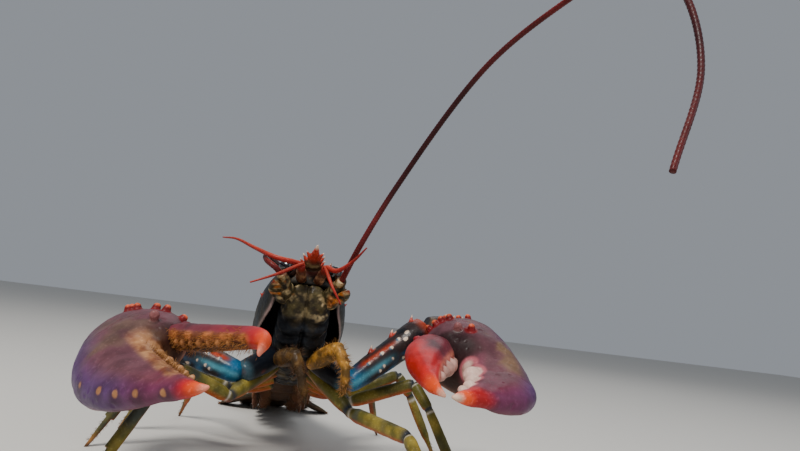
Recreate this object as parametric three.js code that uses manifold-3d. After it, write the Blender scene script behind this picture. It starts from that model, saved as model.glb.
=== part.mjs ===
// An American lobster, life size, standing with its front raised and its claws held forward.
// Millimetres, +Z up, the head faces -Y and the animal's left side is +X.
import * as THREE from "three";
import { mergeVertices } from "three/addons/utils/BufferGeometryUtils.js";
import Module from "manifold-3d";

const wasm = await Module();
wasm.setup();

// Driving sizes
const CARAPACE = 95;
const PITCH = (24 * Math.PI) / 180;
const HUB = new THREE.Vector3(0, 40, 54);
const GAP = 0.3;
const SEED = 7;

const V = (x, y, z) => new THREE.Vector3(x, y, z);
const AHEAD = V(0, -Math.cos(PITCH), Math.sin(PITCH));
const UP = V(0, Math.sin(PITCH), Math.cos(PITCH));
const WORLD_UP = V(0, 0, 1);
const SIDES = { left: 1, right: -1 };

// A place on the forebody: s ahead of the carapace's rear edge, x to the animal's left, h up.
const body = (s, x, h) =>
  HUB.clone().addScaledVector(AHEAD, s).add(V(x, 0, 0)).addScaledVector(UP, h);
const bodyWay = (s, x, h) =>
  V(x, 0, 0).addScaledVector(AHEAD, s).addScaledVector(UP, h).normalize();

let seed = SEED;
function random() {
  seed = (seed * 16807) % 2147483647;
  return seed / 2147483647;
}

// Surfaces and solids

// A closed skin over rings of equal point counts, with a fan at each end.
function skin(rings) {
  const count = rings[0].length;
  const positions = rings.flat().flatMap((p) => [p.x, p.y, p.z]);
  const faces = [];
  for (let i = 0; i + 1 < rings.length; i++)
    for (let j = 0; j < count; j++) {
      const a = i * count + j;
      const b = i * count + ((j + 1) % count);
      faces.push(a, b, b + count, a, b + count, a + count);
    }
  const close = (ring, first, turn) => {
    const middle = ring.reduce((sum, p) => sum.add(p), V(0, 0, 0)).divideScalar(count);
    const apex = positions.length / 3;
    positions.push(middle.x, middle.y, middle.z);
    for (let j = 0; j < count; j++) {
      const pair = [first + j, first + ((j + 1) % count)];
      faces.push(apex, pair[turn], pair[1 - turn]);
    }
  };
  close(rings[0], 0, 1);
  close(rings[rings.length - 1], (rings.length - 1) * count, 0);
  const geometry = new THREE.BufferGeometry();
  geometry.setAttribute("position", new THREE.Float32BufferAttribute(positions, 3));
  geometry.setIndex(faces);
  return geometry;
}

function solid(geometry) {
  const plain = geometry.clone();
  for (const name of Object.keys(plain.attributes)) if (name !== "position") plain.deleteAttribute(name);
  const merged = mergeVertices(plain, 1e-4);
  const make = (order) =>
    new wasm.Manifold(
      new wasm.Mesh({
        numProp: 3,
        vertProperties: new Float32Array(merged.attributes.position.array),
        triVerts: order,
      }),
    );
  const order = new Uint32Array(merged.index.array);
  const made = make(order);
  return made.volume() > 0 ? made : make(order.slice().reverse());
}

// The largest closed surface of a solid.
function largest(manifold) {
  const pieces = manifold.decompose();
  return pieces.reduce((best, piece) => (piece.volume() > best.volume() ? piece : best));
}

function geometryOf(manifold) {
  const mesh = manifold.getMesh();
  const geometry = new THREE.BufferGeometry();
  geometry.setAttribute("position", new THREE.Float32BufferAttribute(mesh.vertProperties, 3));
  geometry.setIndex(Array.from(mesh.triVerts));
  geometry.computeVertexNormals();
  return geometry;
}

const join = (pieces) => pieces.reduce((sum, piece) => sum.add(piece));
const cut = (piece, tools) => tools.reduce((rest, tool) => rest.subtract(tool), piece);

const power = (value, exponent) => Math.sign(value) * Math.abs(value) ** exponent;

// A squarish oval round a centre: wide along the side axis, tall along the lift axis.
function oval(centre, side, lift, wide, tall, count, squareness = 2) {
  const points = [];
  for (let k = 0; k < count; k++) {
    const angle = (2 * Math.PI * (k + 0.5)) / count;
    points.push(
      centre
        .clone()
        .addScaledVector(side, wide * power(Math.cos(angle), 2 / squareness))
        .addScaledVector(lift, tall * power(Math.sin(angle), 2 / squareness)),
    );
  }
  return points;
}

// A shell segment between two joints. Each profile row is [share of the length, half width, half height].
function bone(from, to, profile, { lift = WORLD_UP, count = 10, grow = 0, squareness = 2.2, bow = 0 } = {}) {
  const way = to.clone().sub(from);
  const length = way.length();
  way.normalize();
  const side = way.clone().cross(lift).normalize();
  const up = side.clone().cross(way);
  const last = profile.length - 1;
  const rings = profile.map(([share, wide, tall], i) => {
    const reach = share * length + (i === 0 ? -grow : 0) + (i === last ? grow : 0);
    const centre = from
      .clone()
      .addScaledVector(way, reach)
      .addScaledVector(up, bow * Math.sin(Math.PI * share));
    return oval(centre, side, up, wide + grow, tall + grow, count, squareness);
  });
  return solid(skin(rings));
}

// A jointed limb through several joints. Each row is [place, half width, half height], where the place
// 1.25 is a quarter of the way from joint 1 to joint 2.
function limb(joints, rows, { lift = WORLD_UP, count = 8, grow = 0, squareness = 2.2 } = {}) {
  const ways = joints.slice(1).map((joint, i) => joint.clone().sub(joints[i]).normalize());
  const last = rows.length - 1;
  const rings = rows.map(([place, wide, tall], i) => {
    const index = Math.min(Math.max(Math.floor(place), 0), ways.length - 1);
    const share = place - index;
    const way = ways[index].clone();
    if (share < 0.15 && index > 0) way.lerp(ways[index - 1], 0.5 - share / 0.3).normalize();
    if (share > 0.85 && index + 1 < ways.length) way.lerp(ways[index + 1], (share - 0.7) / 0.3 - 0.5).normalize();
    const side = way.clone().cross(lift).normalize();
    const centre = joints[index]
      .clone()
      .lerp(joints[index + 1], share)
      .addScaledVector(way, (i === 0 ? -grow : 0) + (i === last ? grow : 0));
    return oval(centre, side, side.clone().cross(way), wide + grow, tall + grow, count, squareness);
  });
  return solid(skin(rings));
}

// A tapered whip along a smooth route.
function whip(route, radii, { count = 6, steps = 24, flat = 1 } = {}) {
  const curve = new THREE.CatmullRomCurve3(route, false, "centripetal");
  const rings = [];
  for (let i = 0; i <= steps; i++) {
    const share = i / steps;
    const way = curve.getTangentAt(share);
    const side = way.clone().cross(Math.abs(way.z) > 0.9 ? V(0, 1, 0) : WORLD_UP).normalize();
    const up = side.clone().cross(way);
    const at = share * (radii.length - 1);
    const low = Math.min(Math.floor(at), radii.length - 2);
    const radius = THREE.MathUtils.lerp(radii[low], radii[low + 1], at - low);
    rings.push(oval(curve.getPointAt(share), side, up, radius, radius * flat, count));
  }
  return solid(skin(rings));
}

// A spine of few sides, sunk into what it grows from.
function spine(root, way, length, radius, sides = 5, sunk = 1.2) {
  const cone = new THREE.ConeGeometry(radius, length + sunk, sides, 1);
  cone.translate(0, (length + sunk) / 2 - sunk, 0);
  cone.applyQuaternion(new THREE.Quaternion().setFromUnitVectors(V(0, 1, 0), way.clone().normalize()));
  cone.translate(root.x, root.y, root.z);
  return solid(cone);
}

function ball(centre, radius, { wide = 12, tall = 8, stretch = V(1, 1, 1), turn = null, grow = 0 } = {}) {
  const sphere = new THREE.SphereGeometry(1, wide, tall);
  sphere.scale(radius * stretch.x + grow, radius * stretch.y + grow, radius * stretch.z + grow);
  if (turn) sphere.applyQuaternion(turn);
  sphere.translate(centre.x, centre.y, centre.z);
  return solid(sphere);
}

// Materials
const paint = (colour, roughness = 0.4) =>
  new THREE.MeshStandardMaterial({ color: colour, roughness, metalness: 0 });
const MATERIAL = {
  shell: paint(0x1f1d1c, 0.4),
  mouth: paint(0x6b5a38, 0.5),
  claw: paint(0x5a3037, 0.35),
  fingertip: paint(0xc03a30, 0.35),
  arm: paint(0x14222c, 0.35),
  leg: paint(0x69622f, 0.4),
  feeler: paint(0x8c1f1b, 0.45),
  eye: paint(0x07080b, 0.1),
};

const lobster = new THREE.Group();
function add(name, made, material) {
  const mesh = new THREE.Mesh(geometryOf(largest(made)), material);
  mesh.name = name;
  lobster.add(mesh);
}

// Floor: everything below it is trimmed, which leaves the small flats that the animal rests on.
const floorBox = new THREE.BoxGeometry(900, 900, 60);
floorBox.translate(0, 0, -30);
const FLOOR = solid(floorBox);

// Carapace: [s, half width, top, bottom, height of the widest line]
const CARAPACE_ROWS = [
  [0, 18.5, 19.5, -12, 3],
  [2.5, 20.5, 21.5, -15, 3],
  [12, 23, 23.4, -18, 2],
  [26, 25, 24.5, -20, 1],
  [38, 25.8, 24.8, -20.5, 1],
  [43, 25, 23.4, -20.5, 1],
  [48, 25.4, 24.4, -20.5, 1],
  [62, 24.6, 23.6, -20, 1.5],
  [76, 22.2, 21.2, -17, 2.5],
  [86, 19.2, 18.6, -12, 4],
  [93, 15.6, 16.4, -5, 6],
  [97, 9, 14, 3, 8.5],
];
const CARAPACE_SIDES = 26;
function carapaceHull(grow) {
  const last = CARAPACE_ROWS.length - 1;
  const rings = CARAPACE_ROWS.map(([s, half, top, bottom, middle], row) => {
    const points = [];
    for (let k = 0; k < CARAPACE_SIDES; k++) {
      const angle = (2 * Math.PI * (k + 0.5)) / CARAPACE_SIDES;
      const rise = Math.sin(angle);
      const x = (half + grow) * power(Math.cos(angle), 2 / 2.3);
      const h =
        rise > 0
          ? middle + (top + grow - middle) * power(rise, 2 / 2.1)
          : middle + (middle - bottom + grow) * power(rise, 2 / 3.2);
      points.push(body(s + (row === 0 ? -grow : 0) + (row === last ? grow : 0), x, h));
    }
    return points;
  });
  return solid(skin(rings));
}

// The open front under the carapace, where the mouthparts lie: [s, half width, bottom, top]
const HOLLOW_ROWS = [
  [26, 7, -27, -15],
  [44, 19.5, -34, -7],
  [62, 21.8, -36, 0],
  [76, 19.6, -36, 2.5],
  [90, 16.4, -36, 3.2],
  [108, 18, -36, 3.2],
];
function boxRings(rows, grow, count, squareness) {
  const last = rows.length - 1;
  return rows.map(([s, half, bottom, top], row) => {
    const reach = s + (row === 0 ? -grow : 0) + (row === last ? grow : 0);
    const middle = body(reach, 0, (bottom + top) / 2);
    return oval(middle, V(1, 0, 0), UP, half + grow, (top - bottom) / 2 + grow, count, squareness);
  });
}
const hollow = (grow) => solid(skin(boxRings(HOLLOW_ROWS, grow, 16, 4)));

// Rostrum: [s, half width, middle height, half height]
const ROSTRUM_ROWS = [
  [82, 8.6, 16.4, 3],
  [92, 6.4, 15.2, 2.8],
  [99, 4.5, 13.8, 2.6],
  [107, 3, 12.8, 2.2],
  [115, 1.9, 12.3, 1.6],
  [123, 0.45, 12.4, 0.45],
];
const rostrum = (grow) =>
  solid(
    skin(
      ROSTRUM_ROWS.map(([s, half, middle, tall]) =>
        oval(body(s, 0, middle), V(1, 0, 0), UP, half + grow, tall + grow, 10),
      ),
    ),
  );

const EYE = { s: 97.5, x: 12.6, h: 11.2, radius: 4.1 };
const orbits = (grow) =>
  Object.values(SIDES).map((side) =>
    ball(body(EYE.s + 1.5, side * (EYE.x + 0.6), EYE.h), 7 - grow, { wide: 12, tall: 8 }),
  );

function carapaceSpines() {
  const spines = [];
  for (const side of Object.values(SIDES)) {
    for (const [s, x, h, length] of [
      [98, 4.3, 13.6, 5.2],
      [104, 3.2, 12.8, 5.4],
      [110, 2.4, 12.2, 4.8],
    ])
      spines.push(spine(body(s, side * x, h), bodyWay(0.7, side * 0.55, 0.45), length, 1.5));
    spines.push(spine(body(89, side * 10.2, 17), bodyWay(0.9, side * 0.1, 0.35), 6, 1.7));
    spines.push(spine(body(80, side * 15.6, 14.6), bodyWay(0.85, side * 0.35, 0.3), 4.5, 1.6));
    spines.push(spine(body(91.5, side * 15.8, 3.5), bodyWay(0.95, side * 0.3, 0.05), 5.5, 1.7));
    spines.push(spine(body(70, side * 22.6, 6), bodyWay(0.8, side * 0.6, 0.1), 3.6, 1.5));
  }
  return spines;
}
const carapaceShape = (grow) =>
  cut(join([carapaceHull(grow), rostrum(grow)]), [hollow(-grow), ...orbits(grow)]);
const carapaceGrown = carapaceShape(GAP);
add("carapace", join([carapaceShape(0), ...carapaceSpines()]), MATERIAL.shell);

// Underside: the breastplate between the legs, and ahead of it the mouth frame: [s, half width, bottom, top]
const UNDERSIDE_ROWS = [
  [4, 7, -22, -13],
  [18, 10.5, -25.5, -12],
  [44, 12.5, -28, -12],
  [60, 13.2, -27.5, 1],
  [74, 13, -24, 2.6],
  [86, 12.4, -17, 2.8],
  [94, 11, -9, 2.6],
  [99, 7, -3, 2],
];
const underside = (grow) => solid(skin(boxRings(UNDERSIDE_ROWS, grow, 16, 2.8)));
const undersideMade = cut(underside(0), [carapaceGrown]);
const undersideGrown = underside(GAP);
add("underside", undersideMade, MATERIAL.mouth);

// Eyes on their stalks
for (const [name, side] of Object.entries(SIDES)) {
  const centre = body(EYE.s, side * EYE.x, EYE.h);
  const eye = (grow) => ball(centre, EYE.radius, { wide: 12, tall: 8, grow });
  add(`eye_${name}`, eye(0), MATERIAL.eye);
  const stalk = bone(
    body(91.5, side * 6.4, 10),
    centre,
    [
      [0, 2.6, 2.6],
      [0.5, 3, 3],
      [0.95, 3.7, 3.7],
    ],
    { lift: UP, count: 8 },
  );
  add(`eyestalk_${name}`, cut(stalk, [eye(GAP), carapaceGrown]), MATERIAL.mouth);
}

// Antennules: a three-jointed stem with two whips. Routes run from the stem's end to the tip.
const ANTENNULE_ROUTES = {
  right: {
    outer: [V(-19, -61, 107), V(-30, -51, 111), V(-40, -42, 115), V(-47.5, -34, 115.5)],
    inner: [V(-17.5, -71, 98.6), V(-29.4, -73, 93)],
  },
  left: {
    outer: [V(11, -69, 104), V(17, -76, 109), V(22, -82, 116)],
    inner: [V(9.5, -70, 96), V(14.5, -72, 88)],
  },
};
for (const [name, side] of Object.entries(SIDES)) {
  const root = body(94, side * 4.2, 5.6);
  const end = body(110.5, side * 6.2, 6.6);
  const stem = bone(
    root,
    end,
    [
      [0, 2.7, 2.4],
      [0.36, 2.7, 2.5],
      [0.42, 2.3, 2.2],
      [0.66, 2.5, 2.3],
      [0.72, 2, 1.9],
      [1, 2, 1.9],
    ],
    { lift: UP, count: 8 },
  );
  const { outer, inner } = ANTENNULE_ROUTES[name];
  const rooted = (route, x) => [body(108, side * x, 6.6), body(111, side * x, 6.8), ...route];
  const made = join([
    stem,
    whip(rooted(outer, 6.6), [1.5, 1.35, 1.1, 0.75, 0.35], { steps: 9, count: 5 }),
    whip(rooted(inner, 5.6), [1.1, 0.9, 0.4], { steps: 5, count: 5 }),
  ]);
  add(`antennule_${name}`, cut(made, [undersideGrown, carapaceGrown]), MATERIAL.feeler);
}

// Antennae: a stout stem with a pointed scale beside it, then a long whip in three lengths.
const ANTENNA_ROUTES = {
  left: [
    V(19.5, -76, 117),
    V(31.5, -86, 146),
    V(53, -140, 192),
    V(70, -176, 208),
    V(76, -213, 205),
    V(74, -240, 179),
    V(72, -251, 154),
    V(60, -260, 124.5),
  ],
  right: [
    body(112.5, -18.5, 2.4),
    body(111, -22.5, 6),
    body(101, -24, 14),
    body(82, -19.5, 22),
    body(60, -13.5, 28),
    body(35, -12, 30.5),
    body(8, -14, 30),
    body(-22, -20, 27),
    V(-29, 110, 62),
    V(-40, 150, 52),
    V(-58, 188, 44),
    V(-84, 218, 40),
  ],
};
const ANTENNA_CUTS = [0, 0.34, 0.68, 1];
const ANTENNA_RADII = { left: [1.55, 1.35, 1.2, 1.05, 0.85], right: [1.55, 1.3, 1.0, 0.7, 0.4] };
for (const [name, side] of Object.entries(SIDES)) {
  const stemEnd = body(109, side * 15.2, 2);
  const stem = (grow) =>
    bone(
      body(90, side * 11.4, -2.8),
      stemEnd,
      [
        [0, 4.6, 4.4],
        [0.42, 5, 4.6],
        [0.48, 4.2, 4],
        [0.72, 3.9, 3.6],
        [0.78, 3.1, 2.9],
        [1, 2.5, 2.5],
      ],
      { lift: UP, count: 9, grow },
    );
  const scale = bone(
    body(92, side * 15, -3),
    body(113, side * 18.5, -5),
    [
      [0, 3, 1.3],
      [0.35, 4, 1.1],
      [0.75, 2.6, 0.9],
      [1, 0.3, 0.3],
    ],
    { lift: UP, count: 8 },
  );
  const spurs = [
    spine(body(98, side * 17, 1), bodyWay(0.8, side * 0.6, 0.2), 4, 1.2),
    spine(body(97, side * 11.5, -6.5), bodyWay(0.8, side * 0.1, -0.5), 3.4, 1.2),
  ];
  const base = cut(join([stem(0), scale, ...spurs]), [carapaceGrown, undersideGrown]);
  add(`antenna_${name}_stem`, base, MATERIAL.mouth);

  const route = [stemEnd.clone().addScaledVector(stemEnd.clone().sub(body(90, side * 11.4, -2.8)).normalize(), -2)];
  const curve = new THREE.CatmullRomCurve3([...route, ...ANTENNA_ROUTES[name]], false, "centripetal");
  const radii = ANTENNA_RADII[name];
  const radiusAt = (share) => {
    const at = share * (radii.length - 1);
    const low = Math.min(Math.floor(at), radii.length - 2);
    return THREE.MathUtils.lerp(radii[low], radii[low + 1], at - low);
  };
  const total = curve.getLength();
  ["lower", "middle", "tip"].forEach((part, i) => {
    const from = ANTENNA_CUTS[i] + (i ? GAP / total : 0);
    const to = ANTENNA_CUTS[i + 1];
    const steps = i === 0 ? 12 : 9;
    const rings = [];
    for (let k = 0; k <= steps; k++) {
      const share = from + ((to - from) * k) / steps;
      const way = curve.getTangentAt(share);
      const across = way.clone().cross(V(1, 0, 0)).normalize();
      const up = across.clone().cross(way);
      rings.push(oval(curve.getPointAt(share), across, up, radiusAt(share), radiusAt(share), 6));
    }
    add(`antenna_${name}_${part}`, cut(solid(skin(rings)), i ? [] : [stem(GAP)]), MATERIAL.feeler);
  });
}

// Arms that carry the claws: hip, merus and carpus
const ARMS = {
  left: { hip: body(58, 11, -23), knee: V(28, -37, 47), elbow: V(70, -25, 81) },
  right: { hip: body(58, -11, -23), knee: V(-28, -38, 47), elbow: V(-67, -23, 58) },
};
const armHip = (name, grow) =>
  bone(ARMS[name].hip, ARMS[name].knee, [[-0.12, 5.2, 5.4], [0.2, 6.2, 6.2], [0.7, 6, 5.8], [0.98, 5.2, 5]], {
    count: 10,
    grow,
  });

// Third maxillipeds: leg-like mouthparts that hang below the head.
const MAXILLIPED = {
  left: [V(9, -31, 56), V(18.5, -57, 66), V(22.5, -61.5, 57), V(24, -58, 44)],
  right: [V(-9, -31, 56), V(-2.5, -60, 60.5), V(1, -63.5, 52), V(5, -62, 38.5)],
};
for (const [name] of Object.entries(SIDES)) {
  const [root, knee, wrist, tip] = MAXILLIPED[name];
  const thigh = bone(root, knee, [[-0.1, 3, 3.6], [0.3, 3.8, 4.8], [0.8, 3.6, 4.6], [1.06, 2.2, 3]], {
    count: 8,
  });
  const shin = bone(knee, wrist, [[-0.15, 2, 2.4], [0.3, 3, 3.4], [1.1, 2.2, 2.6]], {
    lift: V(0, 1, 0.4),
    count: 8,
  });
  const toe = bone(wrist, tip, [[-0.1, 2, 2.4], [0.4, 2.4, 2.6], [1, 0.6, 0.6]], {
    lift: V(0, 1, 0.2),
    count: 8,
  });
  const hairs = [];
  for (let i = 0; i < 4; i++) {
    const at = knee.clone().lerp(wrist, 0.1 + i * 0.25);
    hairs.push(spine(at, V(SIDES[name], 0.1, 0.4 - i * 0.2), 5.5, 1, 3));
  }
  const made = join([thigh, shin, toe, ...hairs]);
  add(`maxilliped_${name}`, cut(made, [undersideGrown, carapaceGrown, armHip(name, GAP)]), MATERIAL.mouth);
}

// Claws

// A claw's own frame: u runs from the wrist to the fingertips, v to the moving finger's side, w out of its upper face.
function frameOf({ wrist, along, inward, size }) {
  const u = along.clone().normalize();
  const v = inward.clone().addScaledVector(u, -inward.dot(u)).normalize();
  const w = u.clone().cross(v);
  // The upper face looks up, on either side of the body.
  if (w.z < 0) w.negate();
  return { wrist, u, v, w, size };
}
const clawPlace = ({ wrist, u, v, w, size }, a, b, c) =>
  wrist.clone().addScaledVector(u, a * size).addScaledVector(v, b * size).addScaledVector(w, c * size);

const CLAWS = {
  // The cutter is the slimmer claw with a row of fine teeth.
  right: {
    wrist: V(-89.9, -38.9, 58.7),
    along: V(0.409, -0.912, -0.031),
    inward: V(0.752, 0.318, 0.577),
    size: 1,
    open: 18.1,
    palm: [
      [-2, -7, 7, 7],
      [4, -8.5, 11, 10],
      [14, -14, 15.5, 12.7],
      [30, -22.5, 19.5, 14.9],
      [46, -27.8, 21.5, 15.4],
      [55, -29.7, 17, 14.2],
      [66, -30, 5, 11.6],
    ],
    fixed: [
      [44, -25.3, 5, 11],
      [62, -30.6, 1.8, 10.4],
      [80, -28.2, 1.2, 8.8],
      [98, -20, 0.2, 6.4],
      [114, -10.8, -0.2, 4.4],
      [126, -4.1, 0.6, 2.3],
      [131, -0.5, 1.8, 0.6],
    ],
    joint: [57, 13],
    finger: [
      [-2, 6, 17, 5.6],
      [8, 8, 18.8, 6.2],
      [24, 5.2, 17.5, 5.7],
      [42, 4.5, 16, 5],
      [58, 4.5, 14.4, 4.2],
      [69, 3, 10.2, 3],
      [75, -3, -1, 1],
    ],
    bulbs: [[14, 64], [20, 62], [27, 60], [35, 41], [44, 36], [47, 10], [52, -4]],
    teeth: [2.2, 2.6, 1.9, 2.4, 1.8, 2.1, 1.6, 1.3],
    toothed: [64, 118],
  },
  // The crusher is the heavier claw with a few blunt molars.
  left: {
    wrist: V(104.6, -20.5, 75),
    along: V(-0.407, -0.898, -0.164),
    inward: V(-0.899, 0.363, 0.244),
    size: 0.93,
    open: 9,
    palm: [
      [-2, -8, 8, 8],
      [4, -7.5, 12, 11],
      [14, -10.5, 18, 15.5],
      [28, -16, 24, 18.8],
      [44, -22.5, 28, 20.2],
      [56, -28.5, 23, 18.4],
      [70, -35, 3, 13],
    ],
    fixed: [
      [42, -19, 4, 12.5],
      [62, -31.5, -2.5, 11.5],
      [78, -38.5, -5.5, 10],
      [91, -35.5, -7, 8.2],
      [101, -27, -6.5, 6.4],
      [110, -17.5, -5, 4.6],
      [118, -8.5, -2, 2.9],
      [123, -3.5, -0.5, 0.8],
    ],
    joint: [57, 15],
    finger: [
      [-2, 4, 22, 8],
      [8, 3.5, 28, 9.6],
      [22, 1.5, 26.7, 9],
      [38, 0, 20.4, 7.8],
      [52, -2.5, 9.8, 5.8],
      [62, -6, 0, 3.6],
      [68, -12, -9.6, 1],
    ],
    bulbs: [[21, 52], [20.5, 70], [43, 54], [44, 42], [45, 31], [44, 18], [56, 76]],
    teeth: [3.8, 5.4, 5.6, 4.4, 3.4, 2.6],
    toothed: [62, 112],
  },
};

// Rings over rows of [u, outer edge, inner edge, half thickness] in a claw's frame.
function clawSkin(frame, rows, margin, count, squareness, place = (a, b, c) => clawPlace(frame, a, b, c)) {
  const last = rows.length - 1;
  const grow = margin / frame.size;
  return solid(
    skin(
      rows.map(([u, outer, inner, thick], row) => {
        const reach = u + (row === 0 ? -grow : 0) + (row === last ? grow : 0);
        const middle = (outer + inner) / 2;
        const half = (inner - outer) / 2 + grow;
        const points = [];
        for (let k = 0; k < count; k++) {
          const angle = (2 * Math.PI * (k + 0.5)) / count;
          points.push(
            place(
              reach,
              middle + half * power(Math.cos(angle), 2 / squareness),
              (thick + grow) * power(Math.sin(angle), 2 / squareness),
            ),
          );
        }
        return points;
      }),
    ),
  );
}

for (const [name, claw] of Object.entries(CLAWS)) {
  const frame = frameOf(claw);
  const at = (a, b, c) => clawPlace(frame, a, b, c);
  const swing = (claw.open * Math.PI) / 180;
  const [jointU, jointV] = claw.joint;
  const fingerPlace = (a, b, c) =>
    at(
      jointU + a * Math.cos(swing) - b * Math.sin(swing),
      jointV + a * Math.sin(swing) + b * Math.cos(swing) - 13,
      c,
    );
  const innerAt = (rows, u) => {
    const row = Math.max(1, rows.findIndex((r) => r[0] > u));
    const [low, high] = [rows[row - 1], rows[row]];
    return THREE.MathUtils.lerp(low[2], high[2], (u - low[0]) / (high[0] - low[0]));
  };
  const heel = (grow) =>
    ball(at(9, innerAt(claw.palm, 9) - 1, 2), 3, {
      wide: 8,
      tall: 6,
      stretch: V(2.2, 1, 0.9),
      turn: turnTo(frame),
      grow,
    });
  const palm = (grow) =>
    join([clawSkin(frame, claw.palm, grow, 16, 2.3), clawSkin(frame, claw.fixed, grow, 12, 2.1), heel(grow)]);
  // Blunt bulbs along the inner margin: each is at [u, degrees round from the inner edge to the top].
  const margin = (grow) =>
    claw.bulbs.map(([u, degrees]) => {
      const angle = THREE.MathUtils.degToRad(degrees);
      const row = claw.palm.findIndex((r) => r[0] > u);
      const share = (u - claw.palm[row - 1][0]) / (claw.palm[row][0] - claw.palm[row - 1][0]);
      const [outer, inner, thick] = [1, 2, 3].map((k) =>
        THREE.MathUtils.lerp(claw.palm[row - 1][k], claw.palm[row][k], share),
      );
      const b = (outer + inner) / 2 + ((inner - outer) / 2) * power(Math.cos(angle), 2 / 2.3);
      const c = thick * power(Math.sin(angle), 2 / 2.3);
      const out = frame.v.clone().multiplyScalar(Math.cos(angle)).addScaledVector(frame.w, Math.sin(angle));
      return ball(at(u, b, c), 2, {
        wide: 5,
        tall: 3,
        stretch: V(1, 1.6, 1),
        turn: new THREE.Quaternion().setFromUnitVectors(V(0, 1, 0), out),
        grow,
      });
    });
  const knobs = margin(0);
  // The upper knuckle of the finger's hinge
  const knuckle = at(jointU - 1, jointV - 3, claw.palm[5][3] * 0.93);
  knobs.push(ball(knuckle, 3.2, { wide: 8, tall: 6 }));
  // Teeth of the fixed finger
  const tooth = (place, radius) =>
    ball(place, radius * frame.size, {
      wide: 6,
      tall: 4,
      stretch: V(1, 0.9, 0.95),
      turn: turnTo(frame),
    });
  claw.teeth.forEach((radius, i) => {
    const u = THREE.MathUtils.lerp(...claw.toothed, i / (claw.teeth.length - 1));
    knobs.push(tooth(at(u, innerAt(claw.fixed, u) + 0.1 * radius, 1.5), radius));
  });
  add(`claw_${name}_palm`, join([palm(0), ...knobs]), MATERIAL.claw);

  const fingerInner = (a) => {
    const row = Math.max(1, claw.finger.findIndex((r) => r[0] > a));
    const [low, high] = [claw.finger[row - 1], claw.finger[row]];
    return THREE.MathUtils.lerp(low[1], high[1], (a - low[0]) / (high[0] - low[0]));
  };
  const fingerTeeth = claw.teeth.slice(0, -1).map((radius, i) => {
    const a = 13 + (50 * i) / claw.teeth.length;
    return tooth(fingerPlace(a, fingerInner(a) + 0.4, 1), radius * 0.75);
  });
  const finger = clawSkin(frame, claw.finger, 0, 12, 2.1, fingerPlace);
  const ridge = spine(fingerPlace(6, claw.finger[1][2] - 2.5, 3), frame.v.clone().addScaledVector(frame.u, 0.5), 3.6, 2.2, 6, 2);
  add(
    `claw_${name}_finger`,
    cut(join([finger, ridge, ...fingerTeeth]), [palm(GAP), ball(knuckle, 3.2 + GAP, { wide: 10, tall: 8 })]),
    MATERIAL.fingertip,
  );
  claw.grown = join([palm(GAP), ...margin(GAP)]);
}

function turnTo({ u, v, w }) {
  return new THREE.Quaternion().setFromRotationMatrix(new THREE.Matrix4().makeBasis(u, v, w));
}

for (const [name, side] of Object.entries(SIDES)) {
  // The thigh is the merus: it runs from the knee to the elbow.
  const { knee, elbow } = ARMS[name];
  const { wrist } = CLAWS[name];
  const thigh = (grow) =>
    bone(knee, elbow, [[0.02, 5.4, 5], [0.12, 6.6, 6], [0.5, 7.6, 7.2], [0.86, 9, 8.4], [0.98, 7.4, 7]], {
      count: 10,
      grow,
    });
  const cuff = (grow) =>
    bone(elbow, wrist, [[0, 7, 6.6], [0.16, 9, 8.6], [0.55, 10.8, 10.2], [0.88, 10, 9.6], [1, 7.5, 7]], {
      count: 10,
      grow,
    });
  const thighSpines = [];
  const way = elbow.clone().sub(knee).normalize();
  const out = way.clone().cross(V(0, 1, 0)).normalize();
  if (out.z < 0) out.negate();
  for (let i = 0; i < 3; i++)
    thighSpines.push(
      spine(knee.clone().lerp(elbow, 0.35 + 0.27 * i).addScaledVector(out, 6.2 + i * 0.6), out.clone().addScaledVector(way, 0.9), 5, 1.7, 5, 2),
    );
  add(`arm_${name}_hip`, cut(armHip(name, 0), [carapaceGrown, undersideGrown]), MATERIAL.arm);
  add(`arm_${name}_merus`, cut(join([thigh(0), ...thighSpines]), [armHip(name, GAP)]), MATERIAL.arm);
  const cuffWay = wrist.clone().sub(elbow).normalize();
  const cuffSpines = [];
  for (let i = 0; i < 4; i++) {
    const spread = V(0, -0.5 + 0.25 * i, 1).normalize();
    cuffSpines.push(
      spine(elbow.clone().lerp(wrist, 0.25 + 0.17 * i).addScaledVector(spread, 8.6), spread.clone().addScaledVector(cuffWay, 0.4), 4.6, 1.8, 5, 2),
    );
  }
  add(
    `arm_${name}_carpus`,
    cut(join([cuff(0), ...cuffSpines]), [thigh(GAP), CLAWS[name].grown]),
    MATERIAL.arm,
  );
}

// Walking legs: hip, the long upper length to the knee, and the lower length to the foot.
const LEGS = {
  left_1: { s: 46, hip: V(30, -46, 34), knee: V(51, -90, 32), foot: V(60, -128, 0), pincer: true },
  left_2: { s: 34, hip: V(33, -16, 35), knee: V(66, -30, 50), foot: V(92, -58, 0), pincer: true },
  left_3: { s: 22, hip: V(33, 9, 34), knee: V(66, 14, 50), foot: V(98, 20, 0), pincer: false },
  left_4: { s: 11, hip: V(28, 28, 32), knee: V(52, 50, 45), foot: V(72, 84, 0), pincer: false },
  right_1: { s: 46, hip: V(-31.5, -48, 36.5), knee: V(-56, -63, 49.5), foot: V(-84, -84, 0), pincer: true },
  right_2: { s: 34, hip: V(-34, -9, 36), knee: V(-68, -4, 51), foot: V(-100, -14, 0), pincer: true },
  right_3: { s: 22, hip: V(-33, 11, 34), knee: V(-64, 21, 50), foot: V(-94, 36, 0), pincer: false },
  right_4: { s: 11, hip: V(-28, 29, 31), knee: V(-50, 54, 44), foot: V(-66, 92, 0), pincer: false },
};
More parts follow.
